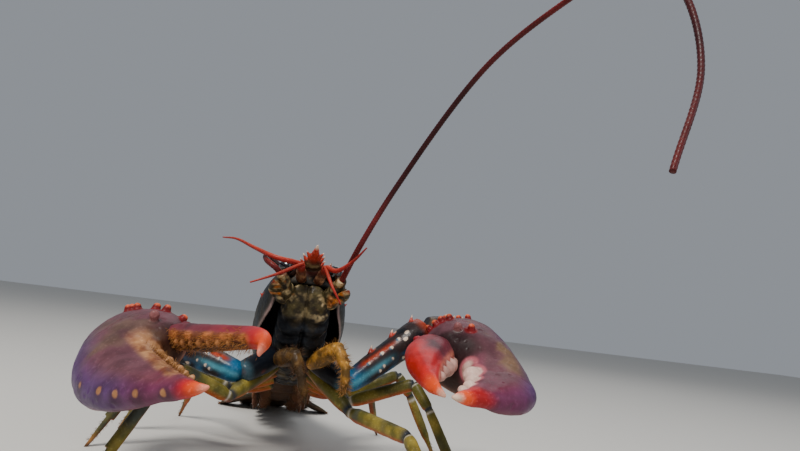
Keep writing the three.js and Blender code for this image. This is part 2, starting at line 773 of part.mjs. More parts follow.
for (const [name, leg] of Object.entries(LEGS)) {
  const side = Math.sign(leg.foot.x);
  const root = body(leg.s, side * 10.5, -23.5);
  const { hip, knee, foot } = leg;
  const upper = (grow) =>
    limb(
      [root, hip, knee],
      [
        [-0.05, 3.8, 4.2],
        [0.3, 4.4, 4.6],
        [0.8, 3.5, 3.8],
        [0.96, 2.5, 2.7],
        [1.06, 2.7, 3],
        [1.16, 3.3, 3.7],
        [1.6, 3.2, 3.6],
        [1.92, 3, 3.4],
        [2, 2.2, 2.5],
      ],
      { grow },
    );
  const wrist = knee.clone().lerp(foot, 0.3).add(V(0, 0, 3));
  const end = wrist.clone().lerp(foot, leg.pincer ? 0.62 : 0.68);
  const below = foot.clone().add(V(0, 0, -0.6));
  const lower = limb(
    [knee, wrist, leg.pincer ? end : below],
    [
      [0, 2.3, 2.5],
      [0.3, 2.9, 3.1],
      [0.85, 2.7, 2.9],
      [0.98, 2, 2.2],
      [1.08, 2.2, 2.5],
      [leg.pincer ? 1.5 : 1.3, 2.2, 2.8],
      ...(leg.pincer ? [[2, 2.1, 2.9]] : [[1.6, 1.9, 2.4], [1.68, 1.4, 1.7], [2, 0.6, 0.7]]),
    ],
  );
  const tips = !leg.pincer
    ? []
    : [-1, 1].map((turn) =>
        bone(
          end.clone().add(V(0, turn * 0.9, 0)),
          below.clone().add(V(0, turn * 1.2, 0)),
          [[-0.12, 1.5, 1.6], [0.4, 1.2, 1.3], [1, 0.6, 0.7]],
          { count: 5 },
        ),
      );
  const hipTools = [carapaceGrown, undersideGrown];
  if (leg.s > 40) hipTools.push(armHip(side > 0 ? "left" : "right", GAP));
  add(`leg_${name}_upper`, cut(upper(0), hipTools), MATERIAL.leg);
  add(`leg_${name}_lower`, cut(join([lower, ...tips]), [upper(GAP), FLOOR]), MATERIAL.leg);
}

// Abdomen: six rings, each [length, half width, rise of the back, slope in degrees]
const ABDOMEN = [
  [11, 17.5, 15.5, 26],
  [19, 20.5, 16.5, 30],
  [18.5, 20, 16, 26],
  [18.5, 19, 15.2, 21],
  [18.5, 18, 14.2, 15],
  [20, 16.5, 12.5, 8],
];
let spot = body(-GAP, 0, 1.5);
const RING_SIDES = 12;
const rings = ABDOMEN.map(([length, half, rise, slope], i) => {
  const angle = (slope * Math.PI) / 180;
  const way = V(0, Math.cos(angle), -Math.sin(angle));
  const up = V(0, Math.sin(angle), Math.cos(angle));
  const from = spot.clone();
  spot = spot.clone().addScaledVector(way, length);
  return { from, to: spot.clone(), way, up, length, half, rise, index: i };
});
function abdomenRing({ from, way, up, length, half, rise, index }, nextUp) {
  // The back is an arch, the belly a flat, and the rear rim stands a little over the next ring.
  const make = (reach, scale, lift) => {
    const points = [];
    for (let k = 0; k < RING_SIDES; k++) {
      const angle = (2 * Math.PI * (k + 0.5)) / RING_SIDES;
      const sin = Math.sin(angle);
      const x = half * scale * power(Math.cos(angle), 2 / 2.3);
      const h = sin > 0 ? rise * scale * power(sin, 2 / 2.1) : rise * 0.62 * power(sin, 2 / 3.5);
      points.push(from.clone().addScaledVector(way, reach).add(V(x, 0, 0)).addScaledVector(lift, h));
    }
    return points;
  };
  const core = solid(
    skin([make(GAP / 2, 0.94, up), make(length * 0.25, 0.97, up), make(length * 0.7, 1.02, up), make(length - GAP / 2, 1, nextUp)]),
  );
  const extras = [];
  for (const side of Object.values(SIDES)) {
    // Side lobe: a pointed plate that hangs beside the belly
    const big = index === 0 ? 0.5 : 1;
    const top = from.clone().addScaledVector(way, length * 0.5).add(V(side * (half - 2.6), 0, 0)).addScaledVector(up, -1);
    const tip = top.clone().addScaledVector(way, length * 0.26).add(V(side * 1.2, 0, 0)).addScaledVector(up, -(rise * 0.62 + 7 * big));
    extras.push(
      bone(top, tip, [[-0.1, length * 0.4, 2.2], [0.45, length * 0.38, 2], [0.8, length * 0.2, 1.3], [1, 0.8, 0.6]], {
        lift: V(1, 0, 0),
        count: 6,
      }),
    );
    // Swimmeret: a thin paddle folded under the belly
    if (index > 0 && index < 5) {
      const root = from.clone().addScaledVector(way, length * 0.55).add(V(side * half * 0.5, 0, 0)).addScaledVector(up, -rise * 0.55);
      const end = root.clone().addScaledVector(way, 9).add(V(side * 1.5, 0, 0)).addScaledVector(up, -7.5);
      extras.push(
        bone(root, end, [[-0.1, 2, 0.9], [0.6, 3.8, 0.8], [1, 1.4, 0.5]], { lift: up, count: 6 }),
      );
    }
  }
  return join([core, ...extras]);
}
const ringSolids = rings.map((ring, i) => abdomenRing(ring, i + 1 < rings.length ? rings[i + 1].up : ring.up));
// Thin cuts between rings: each gives way to the plain slab ahead of it.
const slab = (ring) => {
  const box = new THREE.BoxGeometry(80, 200, 120);
  box.translate(0, -100 + GAP / 2, 0);
  box.applyMatrix4(new THREE.Matrix4().makeBasis(V(1, 0, 0), ring.way, ring.up));
  box.translate(ring.from.x, ring.from.y, ring.from.z);
  return solid(box);
};
ringSolids.forEach((made, i) => {
  const tools = [slab(rings[i]), FLOOR];
  if (i === 0) tools.push(carapaceGrown);
  let rest = cut(made, tools);
  if (i + 1 < rings.length) {
    const next = slab(rings[i + 1]);
    const shifted = next.translate([0, -GAP, 0]);
    rest = rest.intersect(shifted);
  }
  add(`abdomen_${i + 1}`, rest, MATERIAL.shell);
});

// Tail fan: the telson and two pairs of uropods, resting on the floor by their rear edges
const fanRoot = rings[5].to.clone().addScaledVector(rings[5].way, GAP);
const lastSlab = (() => {
  const box = new THREE.BoxGeometry(80, 200, 120);
  box.translate(0, -100 + GAP / 2, 0);
  box.applyMatrix4(new THREE.Matrix4().makeBasis(V(1, 0, 0), rings[5].way, rings[5].up));
  box.translate(rings[5].to.x, rings[5].to.y, rings[5].to.z);
  return solid(box);
})();
const FAN_FLOOR = 0.6;
function blade(root, spread, length, width, thick, drop) {
  const way = V(Math.sin(spread), Math.cos(spread), 0);
  const tip = root.clone().addScaledVector(way, length);
  tip.z = drop;
  return bone(root, tip, [[0, width * 0.42, thick], [0.2, width * 0.72, thick], [0.6, width, thick * 0.85], [0.88, width * 0.88, thick * 0.7], [1, width * 0.45, thick * 0.45]], {
    count: 12,
    squareness: 2.6,
  });
}
const telsonRoot = fanRoot.clone().add(V(0, 0, 1));
const telson = (grow) =>
  bone(
    telsonRoot,
    V(0, telsonRoot.y + 33, FAN_FLOOR + 0.2),
    [[0, 11, 4.2], [0.3, 11.5, 3.2], [0.7, 10.6, 2.2], [0.93, 9.4, 1.6], [1, 6.5, 1.1]],
    { count: 12, squareness: 2.8, grow },
  );
add("telson", cut(telson(0), [lastSlab, FLOOR]), MATERIAL.shell);
for (const [name, side] of Object.entries(SIDES)) {
  const inner = (grow) =>
    blade(fanRoot.clone().add(V(side * 9.5, -1, -3.2)), side * 0.36, 35 + grow, 8.6 + grow, 1.7 + grow, FAN_FLOOR);
  const outer = blade(fanRoot.clone().add(V(side * 13, -3, -4)), side * 0.82, 36, 9.6, 1.7, FAN_FLOOR);
  add(`uropod_${name}_inner`, cut(inner(0), [telson(GAP), lastSlab, FLOOR]), MATERIAL.shell);
  add(`uropod_${name}_outer`, cut(outer, [inner(GAP), telson(GAP), lastSlab, FLOOR]), MATERIAL.shell);
}

// The frame's origin is on the floor, under the middle of the whole animal.
const reach = new THREE.Box3().setFromObject(lobster);
const middle = reach.getCenter(V(0, 0, 0));
lobster.position.set(-middle.x, -middle.y, -reach.min.z);

export default lobster;
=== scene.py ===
"""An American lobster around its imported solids: the same sizes, drawn finely, in wet shell."""
import math

import bpy
import numpy as np
from mathutils import Matrix, Vector


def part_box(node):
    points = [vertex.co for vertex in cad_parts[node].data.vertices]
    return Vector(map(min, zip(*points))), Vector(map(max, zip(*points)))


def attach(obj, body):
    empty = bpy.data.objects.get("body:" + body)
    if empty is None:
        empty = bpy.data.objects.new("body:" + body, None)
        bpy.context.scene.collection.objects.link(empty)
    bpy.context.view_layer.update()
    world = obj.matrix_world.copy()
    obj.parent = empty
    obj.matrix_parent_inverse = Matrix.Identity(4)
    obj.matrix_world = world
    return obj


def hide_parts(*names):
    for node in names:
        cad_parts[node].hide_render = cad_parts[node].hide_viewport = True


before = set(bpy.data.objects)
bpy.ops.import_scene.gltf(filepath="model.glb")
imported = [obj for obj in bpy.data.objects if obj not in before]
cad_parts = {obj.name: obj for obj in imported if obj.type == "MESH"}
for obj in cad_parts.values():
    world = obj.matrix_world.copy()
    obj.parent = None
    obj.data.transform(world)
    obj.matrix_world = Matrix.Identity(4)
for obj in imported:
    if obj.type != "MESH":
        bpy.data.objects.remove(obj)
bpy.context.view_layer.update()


# Sizes, in millimetres, as in the part's own source


def V(*xyz):
    return np.array(xyz, float)


def unit(v):
    return v / np.linalg.norm(v)


PITCH = math.radians(24)
HUB = V(0, 40, 54)
ACROSS = V(1, 0, 0)
AHEAD = V(0, -math.cos(PITCH), math.sin(PITCH))
UP = V(0, math.sin(PITCH), math.cos(PITCH))
WORLD_UP = V(0, 0, 1)
SIDES = {"left": 1, "right": -1}
EYE = {"s": 97.5, "x": 12.6, "h": 11.2, "radius": 4.1}
# Nothing reaches below this, so that no foot sinks into the floor.
FLOOR_CLEARANCE = 0.02


def body(s, x, h):
    """A place on the forebody: s ahead of the carapace's rear edge, x to the left, h up."""
    return HUB + s * AHEAD + x * ACROSS + h * UP


def body_way(s, x, h):
    return unit(s * AHEAD + x * ACROSS + h * UP)


def body_coords(points):
    """The s, x and h of points in the model's millimetres."""
    away = points - HUB
    return away @ AHEAD, away @ ACROSS, away @ UP


low, high = (np.array(c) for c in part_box("eye_left"))
SHIFT = (low + high) / 2 * 1000 - body(EYE["s"], EYE["x"], EYE["h"])


# Smooth random fields


def lattice(cells, seed):
    """A repeatable number from 0 to 1 for each whole-number cell."""
    c = cells.astype(np.int64)
    mixed = (c[:, 0] * 73856093) ^ (c[:, 1] * 19349663) ^ (c[:, 2] * 83492791) ^ (seed * 2654435761)
    mixed = (mixed ^ (mixed >> 13)) * 1274126177
    return ((mixed ^ (mixed >> 16)) & 0xFFFFFF) / float(0xFFFFFF)


def noise(points, size, seed=1, octaves=3):
    """Smooth noise from -1 to 1 whose features are about size millimetres across."""
    total = np.zeros(len(points))
    weight, norm = 1.0, 0.0
    for octave in range(octaves):
        q = points / size * 2**octave
        base = np.floor(q)
        f = q - base
        f = f * f * (3 - 2 * f)
        value = np.zeros(len(points))
        for corner in range(8):
            bits = np.array([corner & 1, corner >> 1 & 1, corner >> 2 & 1])
            share = np.prod(np.where(bits, f, 1 - f), axis=1)
            value += share * lattice(base + bits, seed + octave)
        total += weight * (2 * value - 1)
        norm += weight
        weight *= 0.5
    return total / norm


def share_along(points, start, end):
    """How far along a line each point is: 0 at its start, 1 at its end."""
    return (points - start) @ (end - start) / np.dot(end - start, end - start)


def ramp(x, start, end):
    """0 before start, 1 after end, smooth between."""
    t = np.clip((x - start) / (end - start), 0, 1)
    return t * t * (3 - 2 * t)


def patches(points, size, seed, start, end):
    """A field of soft patches: 1 where the noise is above end, 0 where it is below start."""
    return ramp(noise(points, size, seed), start, end)


def near(points, centre, radius):
    """1 at the centre, fading to 0 at the radius."""
    return 1 - ramp(np.linalg.norm(points - centre, axis=1), radius * 0.35, radius)


def ridge(value, width):
    """1 where the value is 0, falling off like a bell over the width."""
    return np.exp(-((value / width) ** 2))


# Surfaces: each is (points, faces)


def fill_rows(rows, count):
    """More rows between the given ones, on monotone cubic curves through them."""
    rows = np.array(rows, float)
    x = rows[:, 0]
    h = np.diff(x)[:, None]
    slope = np.diff(rows, axis=0) / h
    tangent = np.zeros_like(rows)
    tangent[0], tangent[-1] = slope[0], slope[-1]
    same = slope[:-1] * slope[1:] > 0
    w1, w2 = 2 * h[1:] + h[:-1], h[1:] + 2 * h[:-1]
    with np.errstate(divide="ignore", invalid="ignore"):
        mean = (w1 + w2) / (w1 / slope[:-1] + w2 / slope[1:])
    tangent[1:-1] = np.where(same, mean, 0)
    at = np.linspace(x[0], x[-1], count)
    i = np.clip(np.searchsorted(x, at, side="right") - 1, 0, len(x) - 2)
    width = h[i]
    t = ((at - x[i]) / width[:, 0])[:, None]
    made = (
        (2 * t**3 - 3 * t**2 + 1) * rows[i]
        + (t**3 - 2 * t**2 + t) * width * tangent[i]
        + (-2 * t**3 + 3 * t**2) * rows[i + 1]
        + (t**3 - t**2) * width * tangent[i + 1]
    )
    made[:, 0] = at
    return made


def power(value, exponent):
    return np.sign(value) * np.abs(value) ** exponent


def angles(count):
    return 2 * math.pi * (np.arange(count) + 0.5) / count


def oval(centre, side, lift, wide, tall, count, squareness=2.2):
    """A ring of points. Squareness 2 is an ellipse, and more is closer to a rectangle."""
    across = wide * power(np.cos(angles(count)), 2 / squareness)
    up = tall * power(np.sin(angles(count)), 2 / squareness)
    return centre + across[:, None] * side + up[:, None] * lift


def skin(rings):
    """A closed skin over rings of equal point counts, with a fan at each end."""
    rings = np.array(rings)
    many, count, _ = rings.shape
    points = np.concatenate([rings.reshape(-1, 3), [rings[0].mean(0)], [rings[-1].mean(0)]])
    j = np.arange(count)
    k = (j + 1) % count
    faces = []
    for i in range(many - 1):
        a, b = i * count + j, i * count + k
        faces += np.stack([a, b, b + count, a + count], 1).tolist()
    first, last = many * count, many * count + 1
    end = (many - 1) * count
    faces += np.stack([np.full(count, first), k, j], 1).tolist()
    faces += np.stack([np.full(count, last), end + j, end + k], 1).tolist()
    return points, faces


def bone(start, end, profile, lift=WORLD_UP, count=28, rings=26, squareness=2.2):
    """A shell segment between two joints.

    Each profile row is [share of the length, half width, half height].
    """
    way = end - start
    length = np.linalg.norm(way)
    way = way / length
    side = unit(np.cross(way, lift))
    up = np.cross(side, way)
    return skin(
        [
            oval(start + share * length * way, side, up, wide, tall, count, squareness)
            for share, wide, tall in fill_rows(profile, rings)
        ],
    )


def limb(joints, rows, lift=WORLD_UP, count=24, rings=70, squareness=2.2):
    """A jointed limb. A row's place 1.25 is a quarter of the way from joint 1 to joint 2."""
    ways = [unit(b - a) for a, b in zip(joints, joints[1:])]
    made = []
    for place, wide, tall in fill_rows(rows, rings):
        index = int(min(max(math.floor(place), 0), len(ways) - 1))
        share = place - index
        way = ways[index]
        if share < 0.15 and index > 0:
            way = unit(way + (ways[index - 1] - way) * (0.5 - share / 0.3))
        if share > 0.85 and index + 1 < len(ways):
            way = unit(way + (ways[index + 1] - way) * ((share - 0.7) / 0.3 - 0.5))
        side = unit(np.cross(way, lift))
        centre = joints[index] + share * (joints[index + 1] - joints[index])
        made.append(oval(centre, side, np.cross(side, way), wide, tall, count, squareness))
    return skin(made)


def curve_through(route, count):
    """Points at even steps along a centripetal Catmull-Rom curve, as in the part."""
    p = [np.array(q, float) for q in route]
    p = [2 * p[0] - p[1]] + p + [2 * p[-1] - p[-2]]
    dense = []
    for a, b, c, d in zip(p, p[1:], p[2:], p[3:]):
        t0 = 0.0
        t1 = t0 + math.sqrt(np.linalg.norm(b - a))
        t2 = t1 + math.sqrt(np.linalg.norm(c - b))
        t3 = t2 + math.sqrt(np.linalg.norm(d - c))
        for t in np.linspace(t1, t2, 40, endpoint=False):
            a1 = (t1 - t) / (t1 - t0) * a + (t - t0) / (t1 - t0) * b
            a2 = (t2 - t) / (t2 - t1) * b + (t - t1) / (t2 - t1) * c
            a3 = (t3 - t) / (t3 - t2) * c + (t - t2) / (t3 - t2) * d
            b1 = (t2 - t) / (t2 - t0) * a1 + (t - t0) / (t2 - t0) * a2
            b2 = (t3 - t) / (t3 - t1) * a2 + (t - t1) / (t3 - t1) * a3
            dense.append((t2 - t) / (t2 - t1) * b1 + (t - t1) / (t2 - t1) * b2)
    dense = np.array(dense + [p[-2]])
    run = np.concatenate([[0], np.cumsum(np.linalg.norm(np.diff(dense, axis=0), axis=1))])
    at = np.linspace(0, run[-1], count)
    return np.stack([np.interp(at, run, dense[:, k]) for k in range(3)], 1)


def whip(path, radii, count=12, bead=0.0, bead_length=1.0):
    """A tapered, ringed feeler along a path of points."""
    steps = np.diff(path, axis=0)
    ways = np.concatenate([steps[:1], (steps[:-1] + steps[1:]) / 2, steps[-1:]])
    run = np.concatenate([[0], np.cumsum(np.linalg.norm(steps, axis=1))])
    side = None
    rings = []
    for i, way in enumerate(ways):
        way = unit(way)
        if side is None:
            side = unit(np.cross(way, V(0.3, 0.2, 0.9)))
        side = unit(side - way * (side @ way))
        phase = (run[i] / bead_length) % 1
        swell = 1 + bead * (1 - abs(2 * phase - 1)) - bead
        rings.append(
            oval(path[i], side, np.cross(side, way), radii[i] * swell, radii[i] * swell, count, 2)
        )
    return skin(rings)


def basis_for(axis):
    """Three right-angled directions, the second along the axis."""
    axis = unit(axis)
    side = unit(np.cross(axis, V(0.31, 0.17, 0.93)))
    return np.stack([side, axis, np.cross(side, axis)])


def ball(centre, radii, basis=np.eye(3), wide=20, tall=14):
    radii = np.broadcast_to(np.array(radii, float), 3)
    rings = []
    for i in range(1, tall):
        polar = math.pi * i / tall
        angle = 2 * math.pi * np.arange(wide) / wide
        unit_points = np.stack(
            [
                math.sin(polar) * np.cos(angle), np.full(wide, math.cos(polar)),
                math.sin(polar) * np.sin(angle),
            ],
            1,
        )
        rings.append(centre + (unit_points * radii) @ basis)
    points, faces = skin(rings)
    points[-2] = centre + V(0, radii[1], 0) @ basis
    points[-1] = centre - V(0, radii[1], 0) @ basis
    return points, faces


def spine(root, way, length, radius, sunk=1.2, sides=12, curl=0.0, lift=None):
    """A pointed spine with a slightly swollen foot."""
    way = unit(way)
    basis = basis_for(way)
    bend = unit(lift) if lift is not None else basis[0]
    rings = []
    for share in np.linspace(0, 1, 9):
        reach = -sunk + (length + sunk) * share
        r = radius * (1 - share) ** 0.85 + 0.06
        centre = root + way * reach + bend * curl * share**2
        rings.append(oval(centre, basis[0], basis[2], r, r, sides, 2))
    return skin(rings)


def hairs(roots, ways, length, radius=0.11, seed=3):
    """Fine tapered bristles, three-sided, each leaning a little its own way."""
    rng = np.random.default_rng(seed)
    points, faces = [], []
    for root, way in zip(roots, ways):
        way = unit(unit(way) + rng.normal(0, 0.22, 3))
        basis = basis_for(way)
        reach = length * rng.uniform(0.65, 1.15)
        bend = rng.normal(0, 0.12, 3) * reach
        start = len(points)
        for share, size in ((0, 1.0), (0.55, 0.75)):
            centre = root + way * reach * share + bend * share**2
            for k in range(3):
                angle = 2 * math.pi * k / 3
                points.append(
                    centre + radius * size * (math.cos(angle) * basis[0] + math.sin(angle) * basis[2])
                )
        points.append(root + way * reach + bend)
        for k in range(3):
            n = (k + 1) % 3
            faces.append([start + k, start + n, start + 3 + n, start + 3 + k])
            faces.append([start + 3 + k, start + 3 + n, start + 6])
        faces.append([start + 2, start + 1, start])
    return np.array(points), faces


def bristle_roots(rng, start, end, count, shares, thickness, lean):
    """Places and directions of bristles all round the line from start to end."""
    axis = unit(end - start)
    basis = basis_for(axis)
    roots, ways = [], []
    for _ in range(count):
        share, angle = rng.uniform(*shares), rng.uniform(0, 2 * math.pi)
        out = math.cos(angle) * basis[0] + math.sin(angle) * basis[2]
        roots.append(start + share * (end - start) + out * thickness(share))
        ways.append(lean(out, axis))
    return roots, ways


def merge(surfaces):
    points, faces, offset = [], [], 0
    for p, f in surfaces:
        points.append(p)
        faces += [[i + offset for i in face] for face in f]
        offset += len(p)
    return np.concatenate(points), faces


# Blender objects


def raw_object(name, surface):
    points, faces = surface
    mesh = bpy.data.meshes.new(name)
    mesh.from_pydata(points.tolist(), [], faces)
    mesh.update()
    made = bpy.data.objects.new(name, mesh)
    bpy.context.scene.collection.objects.link(made)
    return made


def settle(made):
    """Applies an object's modifiers."""
    graph = bpy.context.evaluated_depsgraph_get()
    mesh = bpy.data.meshes.new_from_object(made.evaluated_get(graph))
    made.modifiers.clear()
    old = made.data
    made.data = mesh
    bpy.data.meshes.remove(old)


def vertex_values(mesh, kind):
    """Three numbers for each vertex: its place (co) or its normal."""
    flat = np.empty(len(mesh.vertices) * 3)
    mesh.vertices.foreach_get(kind, flat)
    return flat.reshape(-1, 3)


def carved(surface, cuts):
    """A surface with others cut out of it."""
    made = raw_object("hull", surface)
    for cut in cuts:
        tool = raw_object("cut", cut)
        step = made.modifiers.new("cut", "BOOLEAN")
        step.operation = "DIFFERENCE"
        step.solver = "EXACT"
        step.object = tool
        settle(made)
        bpy.data.objects.remove(tool)
    left = (vertex_values(made.data, "co"), [list(p.vertices) for p in made.data.polygons])
    bpy.data.objects.remove(made)
    return left


def piece(name, surfaces, paint, slot, voxel=None, smooth=4, relief=None, extra=None):
    """Makes the visual piece that stands for one CAD node.

    surfaces are joined into one skin by voxels where voxel is a size, relief moves points along
    their normals, paint gives each point's colour, and extra is added last, such as bristles.
    """
    made = raw_object(name, merge(surfaces))
    if voxel:
        step = made.modifiers.new("join", "REMESH")
        step.mode = "VOXEL"
        step.voxel_size = voxel
        step.use_smooth_shade = True
        settle(made)
        step = made.modifiers.new("ease", "SMOOTH")
        step.factor = 0.5
        step.iterations = smooth
        settle(made)
    mesh = made.data
    points, normal = vertex_values(mesh, "co"), vertex_values(mesh, "normal")
    if relief is not None:
        points = points + normal * relief(points, normal)[:, None]
    colours = paint(points, normal)
    if extra is not None:
        more, more_faces, more_colour = extra
        faces = [list(p.vertices) for p in mesh.polygons]
        faces += [[i + len(points) for i in face] for face in more_faces]
        points = np.concatenate([points, more])
        colours = np.concatenate([colours, np.broadcast_to(more_colour, (len(more), 3))])
        bare, mesh = mesh, bpy.data.meshes.new(name)
        mesh.from_pydata(points.tolist(), [], faces)
        made.data = mesh
        bpy.data.meshes.remove(bare)
    points[:, 2] = np.maximum(points[:, 2], FLOOR_CLEARANCE)
    mesh.vertices.foreach_set("co", ((points + SHIFT) / 1000).ravel())
    layer = mesh.attributes.new("paint", "FLOAT_COLOR", "POINT")
    layer.data.foreach_set("color", np.insert(colours, 3, 1, axis=1).ravel())
    mesh.update()
    mesh.shade_smooth()
    mesh.materials.clear()
    mesh.materials.append(MATERIALS[slot])
    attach(made, "root")
    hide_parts(name)


# Colours


# Sizes are in millimetres and depths in metres, as the shader nodes take them.
BLOTCH_SIZE = 9
BLOTCH_SHADE = (0.45, 0.42, 0.42, 1)
PIT_SHADE = (0.3, 0.28, 0.28, 1)
PIT_DEPTH = 0.0004
GRAIN_DEPTH = 0.0005
FACET_SIZE = 0.35
FACET_DEPTH = 0.0001
RANGE_SOCKETS = ("From Min", "From Max", "To Min", "To Max")


def tint(red, green, blue):
    """A linear colour from the 0 to 255 values of a screen colour."""
    c = np.array([red, green, blue]) / 255
    return np.where(c <= 0.04045, c / 12.92, ((c + 0.055) / 1.055) ** 2.4)


def mix(a, b, share):
    share = np.asarray(share)[..., None]
    return a + (b - a) * share


def layered(colour, *layers):
    """A colour with others laid over it, each as (colour, share)."""
    for over, share in layers:
        colour = mix(colour, over, share)
    return colour


def nodes_of(material):
    material.use_nodes = True
    tree = material.node_tree
    return tree.nodes, tree.links, tree.nodes["Principled BSDF"]


def paint_colour(nodes):
    """The colours that piece() stored in the mesh."""
    paint = nodes.new("ShaderNodeAttribute")
    paint.attribute_name = "paint"
    return paint.outputs["Color"]


def add_bump(nodes, links, height, strength, metres):
    bump = nodes.new("ShaderNodeBump")
    bump.inputs["Strength"].default_value = strength
    bump.inputs["Distance"].default_value = metres
    links.new(height, bump.inputs["Height"])
    return bump


def shell_material(name, rough, coat, speck, speck_size, pit, pit_size, grain):
    """Wet shell: the painted colour, broken by specks and blotches, with pits and a clear coat.

    speck, pit and grain are strengths, and the sizes are in millimetres.
    """
    material = bpy.data.materials.new(name)
    nodes, links, shader = nodes_of(material)
    place = nodes.new("ShaderNodeTexCoord")
    paint = paint_colour(nodes)

    def texture(kind, size, detail):
        made = nodes.new(kind)
        links.new(place.outputs["Object"], made.inputs["Vector"])
        made.inputs["Scale"].default_value = 1000 / size
        made.inputs["Detail"].default_value = detail
        return made

    def remap(source, low, high, to_low, to_high):
        made = nodes.new("ShaderNodeMapRange")
        links.new(source, made.inputs["Value"])
        for key, value in zip(RANGE_SOCKETS, (low, high, to_low, to_high)):
            made.inputs[key].default_value = value
        return made.outputs["Result"]

    def blend(mode, factor, first, second):
        made = nodes.new("ShaderNodeMix")
        made.data_type = "RGBA"
        made.blend_type = mode
        links.new(factor, made.inputs["Factor"])
        links.new(first, made.inputs["A"])
        if isinstance(second, tuple):
            made.inputs["B"].default_value = second
        else:
            links.new(second, made.inputs["B"])
        return made.outputs["Result"]

    blotch = texture("ShaderNodeTexNoise", BLOTCH_SIZE, 5)
    fine = texture("ShaderNodeTexNoise", speck_size, 4)
    cells = texture("ShaderNodeTexVoronoi", pit_size, 3)
    dark = remap(blotch.outputs["Fac"], 0.42, 0.62, 0.0, 0.55)
    colour = blend("MULTIPLY", dark, paint, BLOTCH_SHADE)
    specked = remap(fine.outputs["Fac"], 0.55, 0.68, 0.0, speck)
    lighter = nodes.new("ShaderNodeHueSaturation")
    lighter.inputs["Saturation"].default_value = 0.85
    lighter.inputs["Value"].default_value = 2.1
    links.new(paint, lighter.inputs["Color"])
    colour = blend("MIX", specked, colour, lighter.outputs["Color"])
    # The pits are darkened in colour as well as dented: painted shade.
    pit_shade_mask = remap(cells.outputs["Distance"], 0.0, 0.35, 0.8 * speck, 0.0)
    colour = blend("MULTIPLY", pit_shade_mask, colour, PIT_SHADE)
    links.new(colour, shader.inputs["Base Color"])
    gloss = remap(fine.outputs["Fac"], 0.3, 0.7, rough - 0.08, rough + 0.12)
    links.new(gloss, shader.inputs["Roughness"])
    dimple = remap(cells.outputs["Distance"], 0.0, 0.45, 0.0, 1.0)
    pits = add_bump(nodes, links, dimple, pit, PIT_DEPTH)
    grains = add_bump(nodes, links, fine.outputs["Fac"], grain, GRAIN_DEPTH)
    links.new(pits.outputs["Normal"], grains.inputs["Normal"])
    links.new(grains.outputs["Normal"], shader.inputs["Normal"])
    shader.inputs["Coat Weight"].default_value = coat
    shader.inputs["Coat Roughness"].default_value = 0.18
    shader.inputs["Specular IOR Level"].default_value = 0.16
    return material


def eye_material():
    material = bpy.data.materials.new("eye_gloss")
    nodes, links, shader = nodes_of(material)
    place = nodes.new("ShaderNodeTexCoord")
    facets = nodes.new("ShaderNodeTexVoronoi")
    facets.inputs["Scale"].default_value = 1000 / FACET_SIZE
    links.new(place.outputs["Object"], facets.inputs["Vector"])
    bump = add_bump(nodes, links, facets.outputs["Distance"], 0.12, FACET_DEPTH)
    links.new(bump.outputs["Normal"], shader.inputs["Normal"])
    links.new(paint_colour(nodes), shader.inputs["Base Color"])
    shader.inputs["Roughness"].default_value = 0.12
    shader.inputs["Coat Weight"].default_value = 0.8
    shader.inputs["Coat Roughness"].default_value = 0.04
    return material


MATERIALS = {
    "shell": shell_material("carapace_shell", 0.48, 0.03, 0.3, 1.6, 0.35, 2.4, 0.2),
    "claw": shell_material("claw_shell", 0.44, 0.05, 0.22, 1.4, 0.22, 3.2, 0.1),
    "fingertip": shell_material("finger_shell", 0.38, 0.05, 0.12, 1.2, 0.1, 3.0, 0.06),
    "arm": shell_material("arm_shell", 0.38, 0.12, 0.25, 1.2, 0.2, 2.6, 0.15),
    "leg": shell_material("leg_shell", 0.44, 0.06, 0.3, 1.0, 0.15, 2.2, 0.2),
    "mouth": shell_material("mouth_skin", 0.5, 0.08, 0.4, 1.3, 0.3, 1.8, 0.5),
    "feeler": shell_material("feeler_shell", 0.45, 0.08, 0.25, 0.7, 0.1, 1.2, 0.3),
    "eye": eye_material(),
}

# The forebody

SHELL_DARK = tint(20, 23, 26)
SHELL_GREEN = tint(44, 40, 26)
# The pale rim colour is partly the edge's own colour and partly a painted highlight.
PALE_RIM_AND_HIGHLIGHT = tint(156, 130, 124)
SPINE_RED = tint(170, 52, 34)
IVORY = tint(232, 205, 180)
CREAM = tint(196, 172, 124)
ORANGE = tint(205, 118, 40)
# Near black, used for painted shade.
SHADE_BLACK = tint(16, 20, 26)

CARAPACE_ROWS = [
    [0, 18.5, 19.5, -12, 3], [2.5, 20.5, 21.5, -15, 3], [12, 23, 23.4, -18, 2], [26, 25, 24.5, -20, 1],
    [38, 25.8, 24.8, -20.5, 1], [43, 25, 23.4, -20.5, 1], [48, 25.4, 24.4, -20.5, 1],
    [62, 24.6, 23.6, -20, 1.5], [76, 22.2, 21.2, -17, 2.5], [86, 19.2, 18.6, -12, 4],
    [93, 15.6, 16.4, -5, 6], [97, 9, 14, 3, 8.5],
]
HOLLOW_ROWS = [
    [26, 7, -27, -15], [44, 19.5, -34, -7], [62, 21.8, -36, 0], [76, 19.6, -36, 2.5],
    [90, 16.4, -36, 3.2], [108, 18, -36, 3.2],
]
ROSTRUM_ROWS = [
    [82, 8.6, 16.4, 3], [92, 6.4, 15.2, 2.8], [99, 4.5, 13.8, 2.6], [107, 3, 12.8, 2.2],
    [115, 1.9, 12.3, 1.6], [123, 0.45, 12.4, 0.45],
]
UNDERSIDE_ROWS = [
    [4, 7, -22, -13], [18, 10.5, -25.5, -12], [44, 12.5, -28, -12], [60, 13.2, -27.5, 1],
    [74, 13, -24, 2.6], [86, 12.4, -17, 2.8], [94, 11, -9, 2.6], [99, 7, -3, 2],
]


def box_rings(rows, rings, count, squareness):
    made = []
    for s, half, bottom, top in fill_rows(rows, rings):
        made.append(
            oval(body(s, 0, (bottom + top) / 2), ACROSS, UP, half, (top - bottom) / 2, count, squareness)
        )
    return skin(made)


